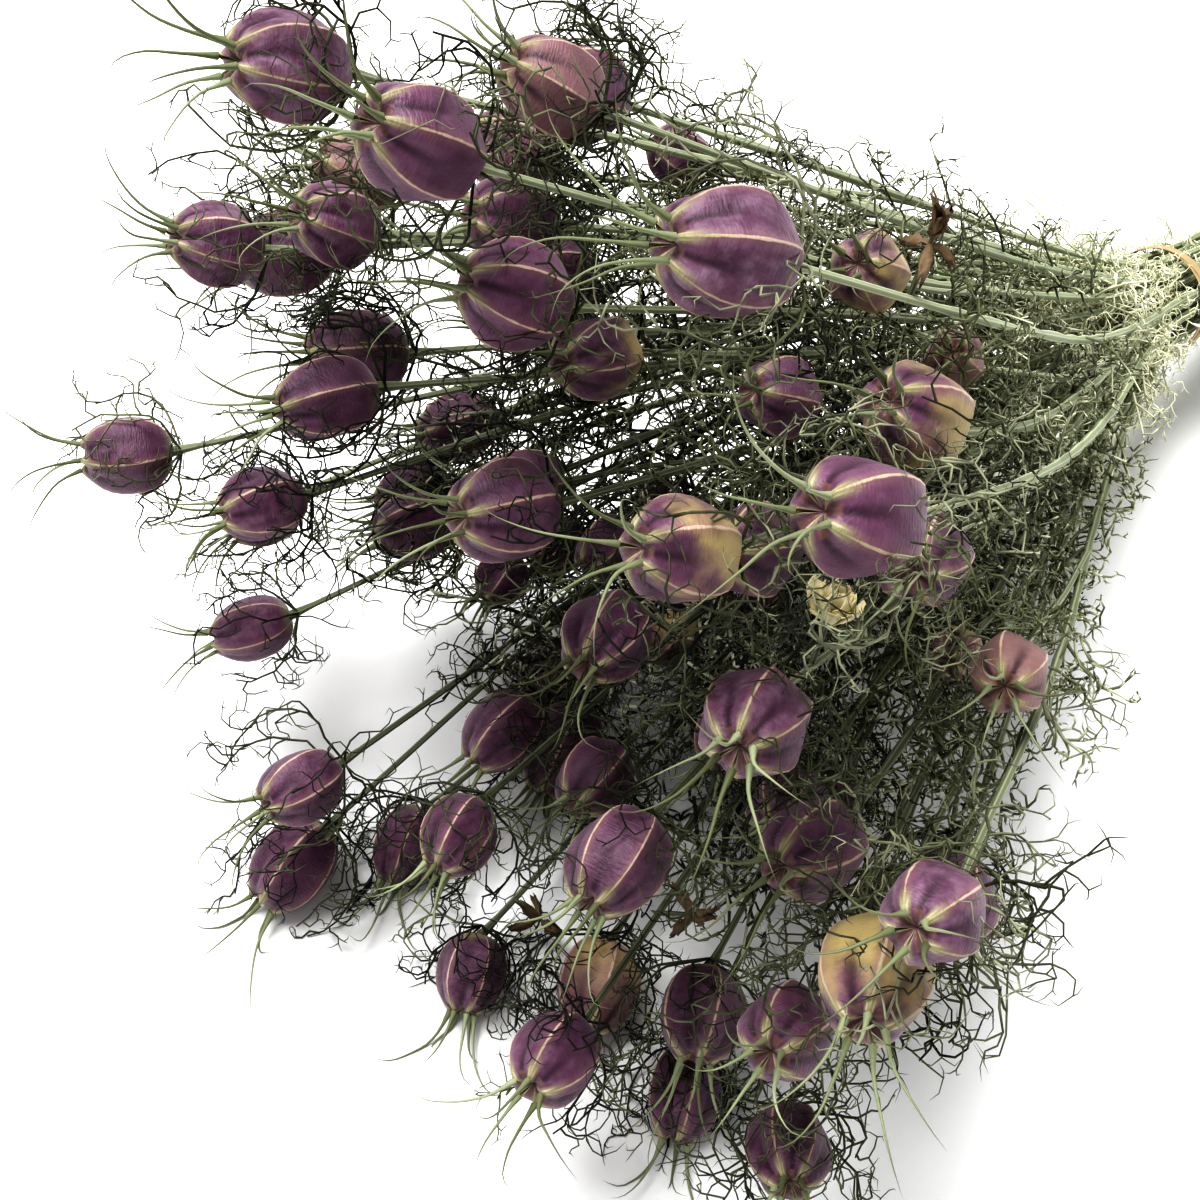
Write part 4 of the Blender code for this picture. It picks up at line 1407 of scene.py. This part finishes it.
def make_withered():
    """The withered leaves."""
    rng = random.Random(8)
    petals = []
    for place in WITHERED_SPRIGS:
        foot, end = sprig(*place)
        axis = unit(end - foot)
        petals += whorl(rng, end - axis * 0.001, axis, 4, rng.uniform(0.7, 1.2), 0.0072, 0.0042, 0.85, 0.0012)
        petals += whorl(rng, end - axis * 0.002, axis, 3, rng.uniform(1.3, 1.9), 0.0068, 0.0030, -0.80, 0.0011)
    return papery("withered_leaves", petals, WITHERED_BROWN, WITHERED_DARK)


papery_flower = make_flower()
withered_leaves = make_withered()

# %% [markdown]
# ## The tie
# A flat straw strip is wound round the neck. The strip is a swept band again, this time with a
# flat outline, made where the model's tie is.

# %% Wind the strip
TIE_GAP = 0.0006
TIE_THICKNESS = 0.0014
TIE_WIDTH = 0.0042
TIE_TURNS = 2
TIE_SLANT = 4.0
STRIP_STEPS = 96
STRIP_ACROSS = 7
STRAW = (0.560, 0.455, 0.270)
STRAW_DARK = (0.300, 0.215, 0.110)


def strip_points():
    """The two windings as closed bands: rings of points across the strip, round the neck."""
    inner = NECK_RADIUS + STEM_RADII[0] + TIE_GAP
    rings = []
    for turn in range(TIE_TURNS):
        slant = math.radians(TIE_SLANT) * (1 - 2 * turn / max(1, TIE_TURNS - 1))
        rng = random.Random(turn + 5)
        phase = rng.uniform(0, 6)
        for i in range(STRIP_STEPS):
            angle = 2 * math.pi * i / STRIP_STEPS
            lift = 0.0001 + 0.00045 * turn + 0.00012 * math.sin(5 * angle + phase)
            half = TIE_WIDTH / 2 * (1 - 0.10 * abs(math.sin(3.5 * angle + phase)))
            outline = []
            for k in range(STRIP_ACROSS):
                x = 2 * k / (STRIP_ACROSS - 1) - 1
                outline.append((x * half, lift + 0.00042 + 0.00012 * math.cos(3 * math.pi * x)))
            for k in reversed(range(STRIP_ACROSS)):
                x = 2 * k / (STRIP_ACROSS - 1) - 1
                outline.append((x * half, lift + 0.00002 * (1 + x * x)))
            for along, out in outline:
                radius = inner + out
                x = radius * math.cos(angle)
                rings.append(laid(x, along + x * math.tan(slant), radius * math.sin(angle)))
    return np.array(rings) + TO_WORLD


def make_tie():
    """The straw strip as one piece."""
    ring = 2 * STRIP_ACROSS
    points = strip_points()
    faces = []
    for turn in range(TIE_TURNS):
        for i in range(STRIP_STEPS):
            a = (turn * STRIP_STEPS + i) * ring
            b = (turn * STRIP_STEPS + (i + 1) % STRIP_STEPS) * ring
            faces += [(a + k, b + k, b + (k + 1) % ring, a + (k + 1) % ring) for k in range(ring)]
    mesh = bpy.data.meshes.new("tie_band")
    mesh.from_pydata(points.tolist(), [], faces)
    across = np.tile(np.concatenate([np.linspace(-1, 1, STRIP_ACROSS), np.linspace(1, -1, STRIP_ACROSS)]),
                     TIE_TURNS * STRIP_STEPS)
    mesh.attributes.new("across", "FLOAT", "POINT").data.foreach_set("value", across.astype(np.float32))
    mesh.shade_smooth()
    piece = new_piece("tie_band", mesh)
    material, tree, shader = new_material("straw_finish")
    place = add_node(tree, "ShaderNodeTexCoord").outputs["Object"]
    streak = add_node(tree, "ShaderNodeTexNoise", {"W": calculate(tree, "MULTIPLY", attribute(tree, "across"), 6.0),
                                                  "Detail": 3.0}, noise_dimensions="1D").outputs["Fac"]
    patches = effect(tree, DRY_PATCHES, Vector=place, Scale=90.0, Share=0.4, Softness=0.2)
    colour = blend(tree, streak, STRAW, STRAW_DARK)
    colour = blend(tree, calculate(tree, "MULTIPLY", patches, 0.4), colour, STRAW_DARK)
    tree.links.new(colour, shader.inputs["Base Color"])
    shader.inputs["Roughness"].default_value = 0.6
    bump = add_node(tree, "ShaderNodeBump", {"Strength": 0.5, "Distance": 0.0002, "Height": streak})
    tree.links.new(bump.outputs[0], shader.inputs["Normal"])
    mesh.materials.append(material)
    return piece


tie_band = make_tie()
print("tie:", triangles(tie_band), "triangles")

# %% [markdown]
# ## Hang everything on the frame
# Every piece rides on the model's one body, and the model's solids that it stands for are hidden.

# %% Ride and replace
for piece, slot, nodes in (
    *((piece, "seed_pod", STEM_NODES) for piece in pods),
    (horns, "stem_green", STEM_NODES),
    (stems, "stem_green", STEM_NODES),
    *((ruff, "thread_green", STEM_NODES) for ruff in ruffs),
    *((leaf, "thread_green", STEM_NODES) for leaf in leaves),
    (tie_band, "tie_straw", ["tie"]),
):
    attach(piece, "root")
    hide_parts(*nodes)
for piece in (papery_flower, withered_leaves):
    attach(piece, "root")

# %% [markdown]
# ## Floor, light and camera
# The photograph is a plain studio picture on white, taken from above and from the pods' end, with
# soft light from the upper left. The floor is a plain pale sheet.

# %% The floor
FLOOR_SIZE = 6.0


def make_floor():
    """A plain pale floor."""
    half = FLOOR_SIZE / 2
    mesh = bpy.data.meshes.new("floor")
    mesh.from_pydata([(-half, -half, 0), (half, -half, 0), (half, half, 0), (-half, half, 0)], [], [(0, 1, 2, 3)])
    floor = new_piece("floor", mesh)
    material, tree, shader = new_material("floor_paper")
    shader.inputs["Base Color"].default_value = (0.86, 0.86, 0.86, 1)
    shader.inputs["Roughness"].default_value = 0.9
    mesh.materials.append(material)
    return floor


make_floor()

# %% The light
scene = bpy.context.scene
scene.view_settings.view_transform = "Standard"
scene.view_settings.look = "Very High Contrast"
scene.world = bpy.data.worlds.new("studio")
scene.world.use_nodes = True
scene.world.node_tree.nodes["Background"].inputs["Color"].default_value = (1, 1, 1, 1)
scene.world.node_tree.nodes["Background"].inputs["Strength"].default_value = 0.42


LIGHT_FROM = (-0.25, 0.0, 1.0)
LIGHT_STRENGTH = 3.6
LIGHT_SOFTNESS = 35.0


def make_key_light():
    """Even light from overhead, with soft-edged shadows."""
    light = bpy.data.lights.new("key_light", "SUN")
    light.energy = LIGHT_STRENGTH
    light.angle = math.radians(LIGHT_SOFTNESS)
    holder = bpy.data.objects.new("key_light", light)
    holder.rotation_euler = mathutils.Vector(LIGHT_FROM).to_track_quat("Z", "Y").to_euler()
    scene.collection.objects.link(holder)


make_key_light()

# %% The camera
PICTURE = 1200
CAMERA_TURN = 48.0
CAMERA_RISE = 51.0
CAMERA_DISTANCE = 0.645
CAMERA_FOCUS = 1690
TIE_IN_PICTURE = (1158, 300)


def make_camera():
    """A camera that sees the tie where the photograph has it."""
    turn = math.radians(CAMERA_TURN)
    rise = math.radians(CAMERA_RISE)
    back = np.array([math.sin(turn) * math.cos(rise), -math.cos(turn) * math.cos(rise), math.sin(rise)])
    right = np.array([math.cos(turn), math.sin(turn), 0.0])
    up = np.cross(back, right)
    x = (TIE_IN_PICTURE[0] - PICTURE / 2) / CAMERA_FOCUS * CAMERA_DISTANCE
    y = (PICTURE / 2 - TIE_IN_PICTURE[1]) / CAMERA_FOCUS * CAMERA_DISTANCE
    place = TO_WORLD + np.array([0, 0, TIE_HEIGHT]) - x * right - y * up + CAMERA_DISTANCE * back
    data = bpy.data.cameras.new("camera")
    data.sensor_width = 36
    data.lens = 36 * CAMERA_FOCUS / PICTURE
    data.clip_start = 0.01
    camera = bpy.data.objects.new("camera", data)
    camera.matrix_world = mathutils.Matrix([(*row, value) for row, value in zip(np.column_stack([right, up, back]), place)]
                                           + [(0, 0, 0, 1)])
    scene.collection.objects.link(camera)
    scene.camera = camera
    return camera


print("camera at", make_camera().matrix_world.translation)

# %% [markdown]
# ## The end

# %% Clear away the pod shapes
for shape in list(pod_shapes.objects):
    bpy.data.objects.remove(shape)
